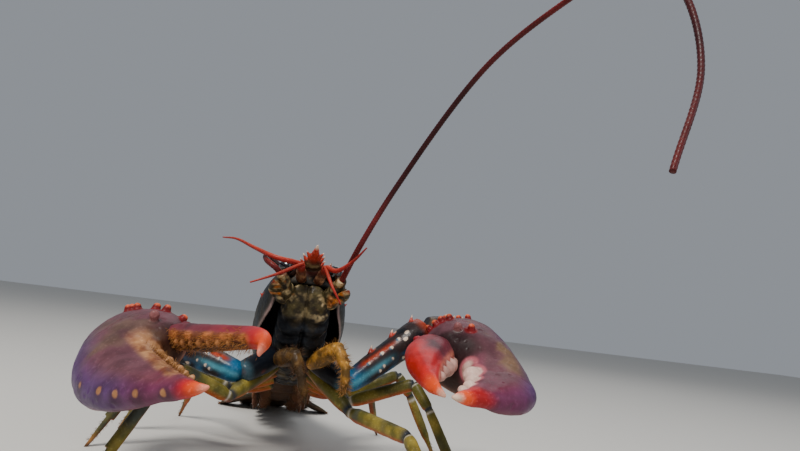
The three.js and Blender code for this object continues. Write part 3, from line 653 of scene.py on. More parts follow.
def carapace_hull():
    rings = []
    angle = angles(120)
    rise = np.sin(angle)
    for s, half, top, bottom, middle in fill_rows(CARAPACE_ROWS, 110):
        x = half * power(np.cos(angle), 2 / 2.3)
        h = np.where(
            rise > 0, middle + (top - middle) * power(rise, 2 / 2.1),
            middle + (middle - bottom) * power(rise, 2 / 3.2),
        )
        rings.append(body(s, 0, 0) + x[:, None] * ACROSS + h[:, None] * UP)
    return skin(rings)


ROSTRUM_SPINES = [[98, 4.3, 13.6, 5.2], [104, 3.2, 12.8, 5.4], [110, 2.4, 12.2, 4.8]]
SHELL_SPINES = [
    [[89, 10.2, 17], [0.9, 0.1, 0.35], 6, 1.7], [[80, 15.6, 14.6], [0.85, 0.35, 0.3], 4.5, 1.6],
    [[91.5, 15.8, 3.5], [0.95, 0.3, 0.05], 5.5, 1.7], [[70, 22.6, 6], [0.8, 0.6, 0.1], 3.6, 1.5],
]


def carapace():
    rostrum = skin(
        [
            oval(body(s, 0, middle), ACROSS, UP, half, tall, 40, 2)
            for s, half, middle, tall in fill_rows(ROSTRUM_ROWS, 60)
        ],
    )
    cuts = [box_rings(HOLLOW_ROWS, 60, 64, 4)]
    tips = []
    grown = [rostrum]
    for side in SIDES.values():
        cuts.append(ball(body(EYE["s"] + 1.5, side * (EYE["x"] + 0.6), EYE["h"]), 7, wide=40, tall=28))
        for s, x, h, length in ROSTRUM_SPINES:
            root, way = body(s, side * x, h), body_way(0.7, side * 0.55, 0.45)
            grown.append(spine(root, way, length, 1.5, curl=0.5, lift=UP))
            tips.append((root, way, length))
        for place, way, length, radius in SHELL_SPINES:
            root = body(place[0], side * place[1], place[2])
            way = body_way(way[0], side * way[1], way[2])
            grown.append(spine(root, way, length, radius, curl=0.4, lift=UP))
            tips.append((root, way, length))

    def relief(points, normal):
        s, x, h = body_coords(points)
        groove_at = 43 + np.clip(12 - h, 0, 40) * 0.55
        groove = ridge(s - groove_at, 1.5) * ramp(np.abs(x), 0, 4) * (h > -14)
        upper = ramp(h, -10, 2)
        branch = ridge(h - 3 - (s - 55) * 0.25, 1.3) * ramp(s, 55, 60) * (1 - ramp(s, 74, 80))
        middle = ridge(x, 0.7) * (1 - ramp(s, 60, 84)) * (h > 5)
        bumps = noise(points, 7, 11) * 0.22 + noise(points, 2.2, 12, 2) * 0.09
        return -1.0 * groove * upper - 0.5 * branch - 0.35 * middle + bumps

    def paint(points, normal):
        s, x, h = body_coords(points)
        colour = layered(
            mix(SHELL_DARK, SHELL_GREEN, patches(points, 16, 21, -0.15, 0.45)),
            (tint(30, 40, 52), patches(points, 12, 22, 0.1, 0.6) * ramp(8 - h, 0, 14)),
            (tint(96, 60, 34), ramp(-h, 6, 19) * patches(points, 9, 23, -0.3, 0.5) * 0.8),
        )
        # The free front edge is thick and pale, partly its own colour and partly a painted highlight,
        # and the shell's hollow behind it is painted dark as shade.
        inner_shade = (
            ramp(-np.sign(x) * (normal @ ACROSS), -0.1, 0.25) * ramp(s, 36, 44) * (1 - ramp(h, 3, 5))
        )
        colour = mix(colour, SHADE_BLACK, inner_shade * 0.9)
        hollow = fill_rows(HOLLOW_ROWS, 200)
        wall = np.interp(s, hollow[:, 0], hollow[:, 1])
        edge = (
            ridge(np.abs(x) - wall - 0.7, 0.5) * ramp(-(normal @ UP) + 0.4 * (normal @ AHEAD), 0.1, 0.6)
        )
        colour = mix(colour, PALE_RIM_AND_HIGHLIGHT, edge * ramp(s, 44, 60) * (1 - ramp(h, 2, 6)) * 0.9)
        brow = ramp(s, 84, 92) * (1 - ramp(h, 9, 13))
        colour = mix(
            colour, mix(tint(26, 22, 18), tint(96, 80, 52), patches(points, 3, 26, 0.05, 0.5)),
            brow * 0.9,
        )
        front = ramp(s, 90, 100)
        colour = mix(colour, tint(104, 44, 34), front * ramp(h, 6, 12))
        under_rostrum = ramp(-(normal @ UP), 0.0, 0.6) * ramp(s, 88, 96) * ramp(h, 6, 9)
        colour = layered(
            colour,
            (
                mix(tint(58, 44, 28), CREAM * 0.7, patches(points, 3, 25, -0.1, 0.5)),
                under_rostrum * (1 - ramp(s, 100, 112)) * 0.85,
            ),
            (SPINE_RED, ramp(s, 104, 114)),
            (IVORY, ramp(s, 118.5, 121.5) * 0.9),
        )
        for root, way, length in tips:
            reach = (points - root) @ way
            aside = np.linalg.norm(points - root - reach[:, None] * way, axis=1)
            on = (aside < 2.2) & (reach > 0.2)
            colour = layered(
                colour,
                (SPINE_RED, on * ramp(reach, 0.2, length * 0.45)),
                (IVORY, on * ramp(reach, length * 0.55, length * 0.85)),
            )
        return colour

    # The hull is cut first, and the rostrum and spines join it afterwards, in the voxel skin.
    hull = carved(carapace_hull(), cuts)
    piece("carapace", [hull] + grown, paint, "shell", voxel=0.55, smooth=3, relief=relief)


def underside():
    surfaces = [box_rings(UNDERSIDE_ROWS, 70, 64, 2.8)]

    def relief(points, normal):
        s, x, _ = body_coords(points)
        # Plates of the breast between the legs, and folds around the mouth
        plates = -0.8 * ridge((s - 12) % 12 - 6, 0.9) * (s < 58)
        keel = -1.2 * ridge(x, 0.8) * ramp(s, 8, 30)
        folds = (
            np.sin(s * 0.9 + np.abs(x) * 0.25 + noise(points, 8, 31) * 1.5) * ramp(s, 56, 62)
            * (1 - ramp(s, 88, 94))
        )
        middle = -1.0 * ridge(x, 1.2) * ramp(s, 58, 64) * (1 - ramp(s, 80, 86))
        return plates + keel + folds * 0.9 + middle + noise(points, 2.4, 32) * 0.45

    def paint(points, normal):
        s, x, _ = body_coords(points)
        # Near black all over as painted shade, with some brown patches; the mouthparts in front are tan.
        colour = mix(SHADE_BLACK, tint(40, 34, 24), patches(points, 5, 33, -0.1, 0.6))
        top = ramp(s, 86, 94)
        colour = mix(
            colour, mix(tint(44, 36, 22), tint(84, 74, 42), patches(points, 4, 37, -0.2, 0.5)), top * 0.9
        )
        cream = patches(points, 3.2, 34, 0.0, 0.4) * (0.35 + 0.65 * ramp(np.abs(x), 3, 8))
        return layered(
            colour,
            (CREAM * 0.8, top * cream),
            (
                ORANGE * 0.8,
                patches(points, 4, 35, 0.3, 0.6) * ramp(s, 78, 92) * ramp(np.abs(x), 4, 8) * 0.7,
            ),
            (tint(120, 104, 70), (s < 58) * patches(points, 5, 36, 0.0, 0.6) * 0.5),
        )

    piece("underside", surfaces, paint, "mouth", voxel=0.5, smooth=2, relief=relief)


def add_eye(name, side):
    centre = body(EYE["s"], side * EYE["x"], EYE["h"])
    toward = unit(body(0, side, 0) - HUB + AHEAD * 1.2)

    def eye_paint(points, normal):
        return np.tile(tint(10, 11, 16), (len(points), 1))

    def stalk_paint(points, normal):
        return mix(tint(92, 60, 34), tint(52, 44, 50), near(points, centre, 7.5))

    globe = ball(centre, EYE["radius"], basis_for(toward), 48, 32)
    stalk = bone(
        body(91.5, side * 6.4, 10), centre - toward * 1.2,
        [[0, 2.6, 2.6], [0.5, 3, 3], [0.85, 3.9, 3.9], [0.97, 3.6, 3.6]], lift=UP, count=36, rings=24,
    )
    piece(f"eye_{name}", [globe], eye_paint, "eye")
    piece(f"eyestalk_{name}", [stalk], stalk_paint, "mouth")


ANTENNULE_ROUTES = {
    "right": {
        "outer": [V(-19, -61, 107), V(-30, -51, 111), V(-40, -42, 115), V(-47.5, -34, 115.5)],
        "inner": [V(-17.5, -71, 98.6), V(-29.4, -73, 93)],
    },
    "left": {
        "outer": [V(11, -69, 104), V(17, -76, 109), V(22, -82, 116)],
        "inner": [V(9.5, -70, 96), V(14.5, -72, 88)],
    },
}
ANTENNULE_WHIPS = [("outer", 6.6, [1.5, 1.35, 1.1, 0.75, 0.35]), ("inner", 5.6, [1.1, 0.9, 0.4])]


def add_antennule(name, side):
    stem = bone(
        body(94, side * 4.2, 5.6),
        body(110.5, side * 6.2, 6.6),
        [
            [0, 2.7, 2.4], [0.36, 2.7, 2.5], [0.42, 2.3, 2.2], [0.66, 2.5, 2.3], [0.72, 2, 1.9],
            [1, 2, 1.9],
        ],
        lift=UP,
        count=32,
        rings=40,
        squareness=2,
    )
    surfaces = [stem]
    for kind, x, radii in ANTENNULE_WHIPS:
        route = [body(108, side * x, 6.6), body(111, side * x, 6.8)] + ANTENNULE_ROUTES[name][kind]
        path = curve_through(route, 150)
        r = np.interp(np.linspace(0, 1, 150), np.linspace(0, 1, len(radii)), radii)
        surfaces.append(whip(path, r, 14, bead=0.12, bead_length=0.9))

    def paint(points, normal):
        s, x, h = body_coords(points)
        stemmed = (1 - ramp(s, 105, 111)) * (1 - ramp(np.abs(x), 8.5, 9.5)) * (1 - ramp(h, 10, 12))
        red = mix(tint(138, 26, 22), tint(176, 70, 44), ramp(-normal[:, 2], -0.2, 0.9) * 0.6)
        return mix(
            red,
            mix(tint(64, 48, 30), tint(170, 128, 92), patches(points, 3.5, 39, -0.1, 0.5)),
            stemmed * 0.85,
        )

    piece(f"antennule_{name}", surfaces, paint, "feeler")


ANTENNA_ROUTES = {
    "left": [
        V(19.5, -76, 117), V(31.5, -86, 146), V(53, -140, 192), V(70, -176, 208), V(76, -213, 205),
        V(74, -240, 179), V(72, -251, 154), V(60, -260, 124.5),
    ],
    "right": [
        body(112.5, -18.5, 2.4), body(111, -22.5, 6), body(101, -24, 14), body(82, -19.5, 22),
        body(60, -13.5, 28), body(35, -12, 30.5), body(8, -14, 30), body(-22, -20, 27), V(-29, 110, 62),
        V(-40, 150, 52), V(-58, 188, 44), V(-84, 218, 40),
    ],
}
ANTENNA_CUTS = [0, 0.34, 0.68, 1]
WHIP_STEPS = 900
ANTENNA_RADII = {"left": [1.55, 1.35, 1.2, 1.05, 0.85], "right": [1.55, 1.3, 1.0, 0.7, 0.4]}


def add_antenna(name, side):
    base, tip = body(90, side * 11.4, -2.8), body(109, side * 15.2, 2)
    stem = bone(
        base,
        tip,
        [
            [0, 4.6, 4.4], [0.42, 5, 4.6], [0.48, 4.2, 4], [0.72, 3.9, 3.6], [0.78, 3.1, 2.9],
            [1, 2.5, 2.5],
        ],
        lift=UP,
        count=44,
        rings=50,
    )
    scale_root, scale_tip = body(92, side * 15, -3), body(113, side * 18.5, -5)
    scale = bone(
        scale_root, scale_tip, [[0, 3, 1.3], [0.35, 4, 1.1], [0.75, 2.6, 0.9], [1, 0.3, 0.3]], lift=UP,
        count=32, rings=36,
    )
    spurs = [
        spine(body(98, side * 17, 1), body_way(0.8, side * 0.6, 0.2), 4, 1.2),
        spine(body(97, side * 11.5, -6.5), body_way(0.8, side * 0.1, -0.5), 3.4, 1.2),
    ]
    rng = np.random.default_rng(5)
    roots, ways = [], []
    for _ in range(60):
        share = rng.uniform(0.1, 1)
        inward = side * ACROSS * 3 * (1 - share)
        roots.append(scale_root * (1 - share) + scale_tip * share - inward)
        ways.append(body_way(0.5, -side * 0.6, -0.3))
    fringe = hairs(roots, ways, 3.2, 0.09)

    def paint(points, normal):
        s, x, _ = body_coords(points)
        return layered(
            mix(tint(58, 50, 28), CREAM, patches(points, 3.5, 41, -0.05, 0.55)),
            (ORANGE, patches(points, 5, 42, 0.1, 0.5) * ramp(np.abs(x), 9, 13)),
            (tint(26, 20, 18), patches(points, 4, 43, 0.0, 0.4) * 0.85),
            (SPINE_RED, ramp(s, 108, 114) * 0.9),
        )

    piece(
        f"antenna_{name}_stem", [stem, scale] + spurs, paint, "mouth", voxel=0.32, smooth=2,
        relief=lambda p, n: noise(p, 1.6, 44) * 0.12, extra=(*fringe, tint(150, 110, 60)),
    )
    route = [tip - 2 * unit(tip - base)] + ANTENNA_ROUTES[name]
    path = curve_through(route, WHIP_STEPS)
    shares = np.linspace(0, 1, WHIP_STEPS)
    radii = ANTENNA_RADII[name]
    sizes = np.interp(shares, np.linspace(0, 1, len(radii)), radii)

    def feeler_paint(points, normal):
        bright = patches(points, 30, 45, -0.3, 0.4)
        colour = mix(tint(52, 12, 16), tint(104, 22, 22), bright * 0.7)
        return mix(colour, tint(150, 70, 56), ramp(-normal[:, 2], 0.3, 0.95) * 0.35)

    for part, start, end in zip(("lower", "middle", "tip"), ANTENNA_CUTS, ANTENNA_CUTS[1:]):
        chosen = (shares >= start - 0.002) & (shares <= end)
        surface = whip(path[chosen], sizes[chosen], 16, bead=0.1, bead_length=1.5)
        piece(f"antenna_{name}_{part}", [surface], feeler_paint, "feeler")


ARMS = {
    "left": {"hip": body(58, 11, -23), "knee": V(28, -37, 47), "elbow": V(70, -25, 81)},
    "right": {"hip": body(58, -11, -23), "knee": V(-28, -38, 47), "elbow": V(-67, -23, 58)},
}
MAXILLIPED = {
    "left": [V(9, -31, 56), V(18.5, -57, 66), V(22.5, -61.5, 57), V(24, -58, 44)],
    "right": [V(-9, -31, 56), V(-2.5, -60, 60.5), V(1, -63.5, 52), V(5, -62, 38.5)],
}


def add_maxilliped(name, side):
    root, knee, wrist, tip = MAXILLIPED[name]
    surfaces = [
        bone(root, knee, [[-0.1, 3, 3.6], [0.3, 3.8, 4.8], [0.8, 3.6, 4.6], [1.06, 2.2, 3]]),
        bone(knee, wrist, [[-0.15, 2, 2.4], [0.3, 3, 3.4], [1.1, 2.2, 2.6]], lift=V(0, 1, 0.4)),
        bone(wrist, tip, [[-0.1, 2, 2.4], [0.4, 2.4, 2.6], [1, 0.6, 0.6]], lift=V(0, 1, 0.2)),
    ]
    for i in range(4):
        at = knee + (wrist - knee) * (0.1 + i * 0.25)
        surfaces.append(spine(at, V(side, 0.1, 0.4 - i * 0.2), 5.5, 0.8))
    rng = np.random.default_rng(8)
    roots, ways = [], []
    for start, end, thick in ((root, knee, 4.2), (knee, wrist, 2.9), (wrist, tip, 2.2)):
        more = bristle_roots(
            rng,
            start,
            end,
            170,
            (0.25, 1.0),
            lambda share: thick * 0.8,
            lambda out, axis: out + 0.6 * axis,
        )
        roots += more[0]
        ways += more[1]
    bristles = hairs(roots, ways, 3.4, 0.1, seed=9)

    def paint(points, normal):
        colour = mix(tint(104, 76, 34), tint(190, 134, 50), patches(points, 5, 51, -0.3, 0.4))
        # Pale cream on faces turned up: a painted highlight, in patches.
        colour = mix(
            colour, tint(222, 184, 104),
            patches(points, 2.5, 52, 0.1, 0.5) * ramp(normal[:, 2], -0.2, 0.6) * 0.7,
        )
        # The right maxilliped is darkened as painted shade.
        return colour if side > 0 else mix(colour, tint(36, 27, 20), np.full(len(points), 0.8))

    # The right one's bristles are darkened too, as painted shade.
    piece(
        f"maxilliped_{name}", surfaces, paint, "mouth", voxel=0.35, smooth=3,
        relief=lambda p, n: noise(p, 1.8, 53) * 0.15,
        extra=(*bristles, tint(168, 118, 60) if side > 0 else tint(92, 62, 40)),
    )


# Claws

CLAWS = {
    "right": {
        "wrist": V(-89.9, -38.9, 58.7),
        "along": V(0.409, -0.912, -0.031),
        "inward": V(0.752, 0.318, 0.577),
        "size": 1.0,
        "open": 18.1,
        "palm": [
            [-2, -7, 7, 7], [4, -8.5, 11, 10], [14, -14, 15.5, 12.7], [30, -22.5, 19.5, 14.9],
            [46, -27.8, 21.5, 15.4], [55, -29.7, 17, 14.2], [66, -30, 5, 11.6],
        ],
        "fixed": [
            [44, -25.3, 5, 11], [62, -30.6, 1.8, 10.4], [80, -28.2, 1.2, 8.8], [98, -20, 0.2, 6.4],
            [114, -10.8, -0.2, 4.4], [126, -4.1, 0.6, 2.3], [131, -0.5, 1.8, 0.6],
        ],
        "joint": [57, 13],
        "finger": [
            [-2, 6, 17, 5.6], [8, 8, 18.8, 6.2], [24, 5.2, 17.5, 5.7], [42, 4.5, 16, 5],
            [58, 4.5, 14.4, 4.2], [69, 3, 10.2, 3], [75, -3, -1, 1],
        ],
        "bulbs": [[14, 64], [20, 62], [27, 60], [35, 41], [44, 36], [47, 10], [52, -4]],
        "teeth": [2.2, 2.6, 1.9, 2.4, 1.8, 2.1, 1.6, 1.3],
        "toothed": [64, 118],
        "fade": [74, -29, 1, 9],
        "spots": [[69, -27.1, 5], [85, -24.3, 4.5], [94, -20.8, 3], [103, -15.8, 2], [115, -9.5, 1]],
    },
    "left": {
        "wrist": V(104.6, -20.5, 75),
        "along": V(-0.407, -0.898, -0.164),
        "inward": V(-0.899, 0.363, 0.244),
        "size": 0.93,
        "open": 9,
        "palm": [
            [-2, -8, 8, 8], [4, -7.5, 12, 11], [14, -10.5, 18, 15.5], [28, -16, 24, 18.8],
            [44, -22.5, 28, 20.2], [56, -28.5, 23, 18.4], [70, -35, 3, 13],
        ],
        "fixed": [
            [42, -19, 4, 12.5], [62, -31.5, -2.5, 11.5], [78, -38.5, -5.5, 10], [91, -35.5, -7, 8.2],
            [101, -27, -6.5, 6.4], [110, -17.5, -5, 4.6], [118, -8.5, -2, 2.9], [123, -3.5, -0.5, 0.8],
        ],
        "joint": [57, 15],
        "finger": [
            [-2, 4, 22, 8], [8, 3.5, 28, 9.6], [22, 1.5, 26.7, 9], [38, 0, 20.4, 7.8],
            [52, -2.5, 9.8, 5.8], [62, -6, 0, 3.6], [68, -12, -9.6, 1],
        ],
        "bulbs": [[21, 52], [20.5, 70], [43, 54], [44, 42], [45, 31], [44, 18], [56, 76]],
        "teeth": [3.8, 5.4, 5.6, 4.4, 3.4, 2.6],
        "toothed": [62, 112],
        "fade": [81, -37.8, -5, 9.4],
        "spots": [],
    },
}


# The zero line of the finger's rows lies this far to the fixed finger's side of the joint.
FINGER_ZERO = 13
FRINGE_HAIRS = 900


class Claw:
    """A claw's own frame.

    u runs from the wrist to the fingertips, v towards the moving finger, and w out of the upper
    face. The rows of a loft are [a, outer edge, inner edge, half thickness], with a along u.
    """

    def __init__(self, name):
        data = CLAWS[name]
        self.__dict__.update(data)
        self.name = name
        self.u = unit(self.along)
        self.v = unit(self.inward - self.u * (self.inward @ self.u))
        self.w = np.cross(self.u, self.v)
        if self.w[2] < 0:
            self.w = -self.w
        self.swing = math.radians(self.open)
        self.basis = np.stack([self.u, self.v, self.w])

    def at(self, a, b, c):
        a, b, c = (np.asarray(q, float)[..., None] for q in (a, b, c))
        return self.wrist + self.size * (a * self.u + b * self.v + c * self.w)

    def finger_at(self, a, b, c):
        turn, rise = math.cos(self.swing), math.sin(self.swing)
        a, b = np.asarray(a, float), np.asarray(b, float)
        return self.at(
            self.joint[0] + a * turn - b * rise, self.joint[1] - FINGER_ZERO + a * rise + b * turn, c
        )

    def local(self, points):
        away = (points - self.wrist) / self.size
        return away @ self.u, away @ self.v, away @ self.w

    def finger_local(self, points):
        a, b, c = self.local(points)
        a, b = a - self.joint[0], b - self.joint[1] + FINGER_ZERO
        turn, rise = math.cos(self.swing), math.sin(self.swing)
        return a * turn + b * rise, -a * rise + b * turn, c

    def loft(self, rows, place, count, rings, squareness):
        made = []
        angle = angles(count)
        for a, outer, inner, thick in fill_rows(rows, rings):
            across = (outer + inner) / 2 + (inner - outer) / 2 * power(np.cos(angle), 2 / squareness)
            made.append(place(np.full(count, a), across, thick * power(np.sin(angle), 2 / squareness)))
        return skin(made)

    def edge(self, rows, a, column):
        rows = np.array(rows)
        return np.interp(a, rows[:, 0], rows[:, column])

    def bulb_places(self):
        for a, degrees in self.bulbs:
            angle = math.radians(degrees)
            outer, inner, thick = (self.edge(self.palm, a, k) for k in (1, 2, 3))
            across = (outer + inner) / 2 + (inner - outer) / 2 * power(math.cos(angle), 2 / 2.3)
            out = math.cos(angle) * self.v + math.sin(angle) * self.w
            yield self.at(a, across, thick * power(math.sin(angle), 2 / 2.3)), out

    def knuckle(self):
        return self.at(self.joint[0] - 1, self.joint[1] - 3, self.palm[5][3] * 0.93)

    def teeth_places(self):
        for i, radius in enumerate(self.teeth):
            a = self.toothed[0] + (self.toothed[1] - self.toothed[0]) * i / (len(self.teeth) - 1)
            yield self.at(a, self.edge(self.fixed, a, 2) + 0.1 * radius, 1.5), radius * self.size

    def finger_teeth_places(self):
        for i, radius in enumerate(self.teeth[:-1]):
            a = 13 + 50 * i / len(self.teeth)
            yield self.finger_at(a, self.edge(self.finger, a, 1) + 0.4, 1), radius * 0.75 * self.size


MAUVE = tint(98, 60, 68)
MAUVE_DARK = tint(62, 34, 42)
VIOLET = tint(78, 52, 100)
SAND = tint(122, 96, 66)
CORAL = tint(176, 26, 30)
FLAME = tint(222, 78, 26)
TOOTH = tint(214, 184, 168)
RUST = tint(112, 62, 34)


def fringe_band(claw, a, b):
    """The hairy, knobbly band along the cutter's toothed edge."""
    inner = claw.edge(claw.fixed, a, 2)
    return (
        ramp(b, inner - 8.5 + 0.03 * (a - 60), inner - 4.5) * ramp(a, 57, 67) * (1 - ramp(a, 108, 118))
    )


def claw_palm(claw):
    crusher = claw.name == "left"
    surfaces = [
        claw.loft(claw.palm + [claw.fade], claw.at, 90, 100, 2.3),
        claw.loft(claw.fixed, claw.at, 72, 110, 2.1),
        ball(claw.at(9, claw.edge(claw.palm, 9, 2) - 1, 2), [6.6, 3, 2.7], claw.basis),
        ball(claw.knuckle(), 2.4),
    ]
    bulbs = list(claw.bulb_places())
    for place, out in bulbs:
        surfaces.append(ball(place, [2, 3.2, 2], basis_for(out)))
        surfaces.append(ball(place + out * 1.6, 1.75, basis_for(out)))
    teeth = list(claw.teeth_places())
    for place, radius in teeth:
        surfaces.append(ball(place, radius * np.array([0.86, 0.95, 0.86]), claw.basis, 26, 18))

    def relief(points, normal):
        a, b, _ = claw.local(points)
        dents = noise(points, 14, 61) * 0.35 + noise(points, 3.5, 62, 2) * 0.12
        pits = -0.3 * ramp(noise(points, 3.0, 63, 1), 0.45, 0.7)
        # A shallow trough runs along the fixed finger on each face, and the hinge sits in a socket.
        trough = (
            -0.9 * ridge(b - claw.edge(claw.fixed, a, 2) + 9, 3.5) * ramp(a, 58, 72)
            * (1 - ramp(a, 104, 116))
        )
        socket = -1.2 * near(points, claw.knuckle() + claw.size * (5 * claw.u - claw.v), 6.5)
        knobs = 0 if crusher else noise(points, 4.5, 68, 2) * 1.1 * fringe_band(claw, a, b)
        plain = np.ones(len(points))
        for place, radius in teeth:
            plain *= 1 - near(points, place, radius * 2)
        return (dents + pits + trough + socket + knobs) * plain

    def paint(points, normal):
        a, b, c = claw.local(points)
        outer, inner = claw.edge(claw.palm, a, 1), claw.edge(claw.palm, a, 2)
        outer = np.where(a > 58, claw.edge(claw.fixed, a, 1), outer)
        inner = np.where(a > 58, claw.edge(claw.fixed, a, 2), inner)
        across = np.clip((b - outer) / (inner - outer), 0, 1)
        big, small = noise(points, 24, 64), noise(points, 6, 65)
        colour = mix(MAUVE, MAUVE_DARK, ramp(big, -0.1, 0.55) * 0.6)
        sandy = ramp(noise(points, 20, 66) + 0.25 * small, 0.12, 0.5)
        colour = layered(
            colour,
            (SAND if crusher else tint(96, 76, 62), sandy * 0.7),
            (tint(84, 78, 58), patches(points, 28, 67, 0.2, 0.6) * 0.6 * (1 - ramp(a, 60, 90))),
            (VIOLET, (1 - ramp(across, 0.05, 0.42)) * ramp(a, 14, 40) * 0.85),
        )
        # Paler, yellowish below, as in life
        colour = mix(colour, tint(150, 92, 62), ramp(-c, 1, 10) * 0.75)
        tip = claw.fixed[-1][0]
        colour = mix(colour, tint(108, 40, 62), ramp(a, tip - 46, tip - 20) * 0.7)
        reach = 18 if crusher else 14
        colour = layered(
            colour,
            (CORAL, ramp(a, tip - reach, tip - reach + 7)),
            (FLAME, ramp(a, tip - 9, tip - 4.5) * 0.9),
            (IVORY, ramp(a, tip - 4.5, tip) * (0.9 if crusher else 0.3)),
        )
        # The hollow between the fingers lies in the dark: the palm's end wall there is painted dark as
        # shade.
        wall = ramp(normal @ claw.u, 0.35, 0.75) * ramp(a, 50, 57) * (1 - ramp(a, 72, 80))
        if crusher:
            colour = layered(
                colour,
                (CORAL, ramp(a, 100, 113) * ramp(across, 0.6, 0.95) * 0.4),
                (
                    tint(124, 62, 80),
                    ramp(across, 0.84, 0.98) * ramp(a, 66, 74) * (1 - ramp(a, 112, 118)) * 0.6,
                ),
                (tint(34, 18, 18), wall * 0.92),
            )
        else:
            hairy = fringe_band(claw, a, b)
            colour = layered(
                colour,
                (mix(RUST, tint(176, 126, 84), ramp(small, -0.35, 0.35)), hairy * 0.92),
                (tint(40, 24, 20), wall * ramp(b, 1, 6) * 0.8),
            )
            for place in claw.spots:
                spot = claw.at(*place)
                mark = ramp(near(points, spot, 2.4) + 0.3 * small, 0.3, 1.0)
                # Each tan tubercle gets a painted shadow below it.
                ring = near(points, spot - 1.2 * claw.w, 4.8)
                colour = layered(
                    colour,
                    (tint(48, 26, 32), ring * 0.5),
                    (tint(170, 118, 72), mark * 0.8),
                )
        colour = mix(colour, tint(150, 92, 92), near(points, claw.knuckle(), 3.6) * 0.8)
        # A dark patch beside the knuckle: painted shade in the hinge socket.
        pit = claw.knuckle() + claw.size * (7 * claw.u - 2 * claw.v)
        colour = mix(colour, tint(22, 14, 16), near(points, pit, 6.5) * 0.8)
        for place, out in bulbs:
            reach = (points - place) @ out
            close = near(points, place + out, 5.2)
            colour = layered(
                colour,
                (tint(112, 22, 26), ramp(close, 0.2, 0.7)),
                (tint(216, 92, 50), ramp(close, 0.2, 0.6) * ramp(reach, 1.7, 2.9)),
            )
        for place, radius in teeth:
            close = near(points, place, radius * 1.9)
            colour = layered(
                colour,
                (tint(168, 92, 100) if crusher else tint(112, 70, 46), ramp(close, 0.25, 0.65)),
                (TOOTH if crusher else tint(176, 126, 84), ramp(close, 0.7, 1.0)),
            )
        return colour

    extra = None
    if not crusher:
        rng = np.random.default_rng(17)
        a = rng.uniform(60, 116, FRINGE_HAIRS)
        lift = rng.normal(0.5, 2.6, FRINGE_HAIRS)
        roots = claw.at(a, claw.edge(claw.fixed, a, 2) - 0.5 - np.abs(lift) * 0.2, lift)
        ways = [0.25 * claw.u + claw.v + 0.14 * q * claw.w for q in lift]
        extra = (*hairs(roots, ways, 2.3, 0.1, seed=18), tint(160, 112, 62))
    piece(
        f"claw_{claw.name}_palm", surfaces, paint, "claw", voxel=0.5, smooth=3, relief=relief,
        extra=extra,
    )


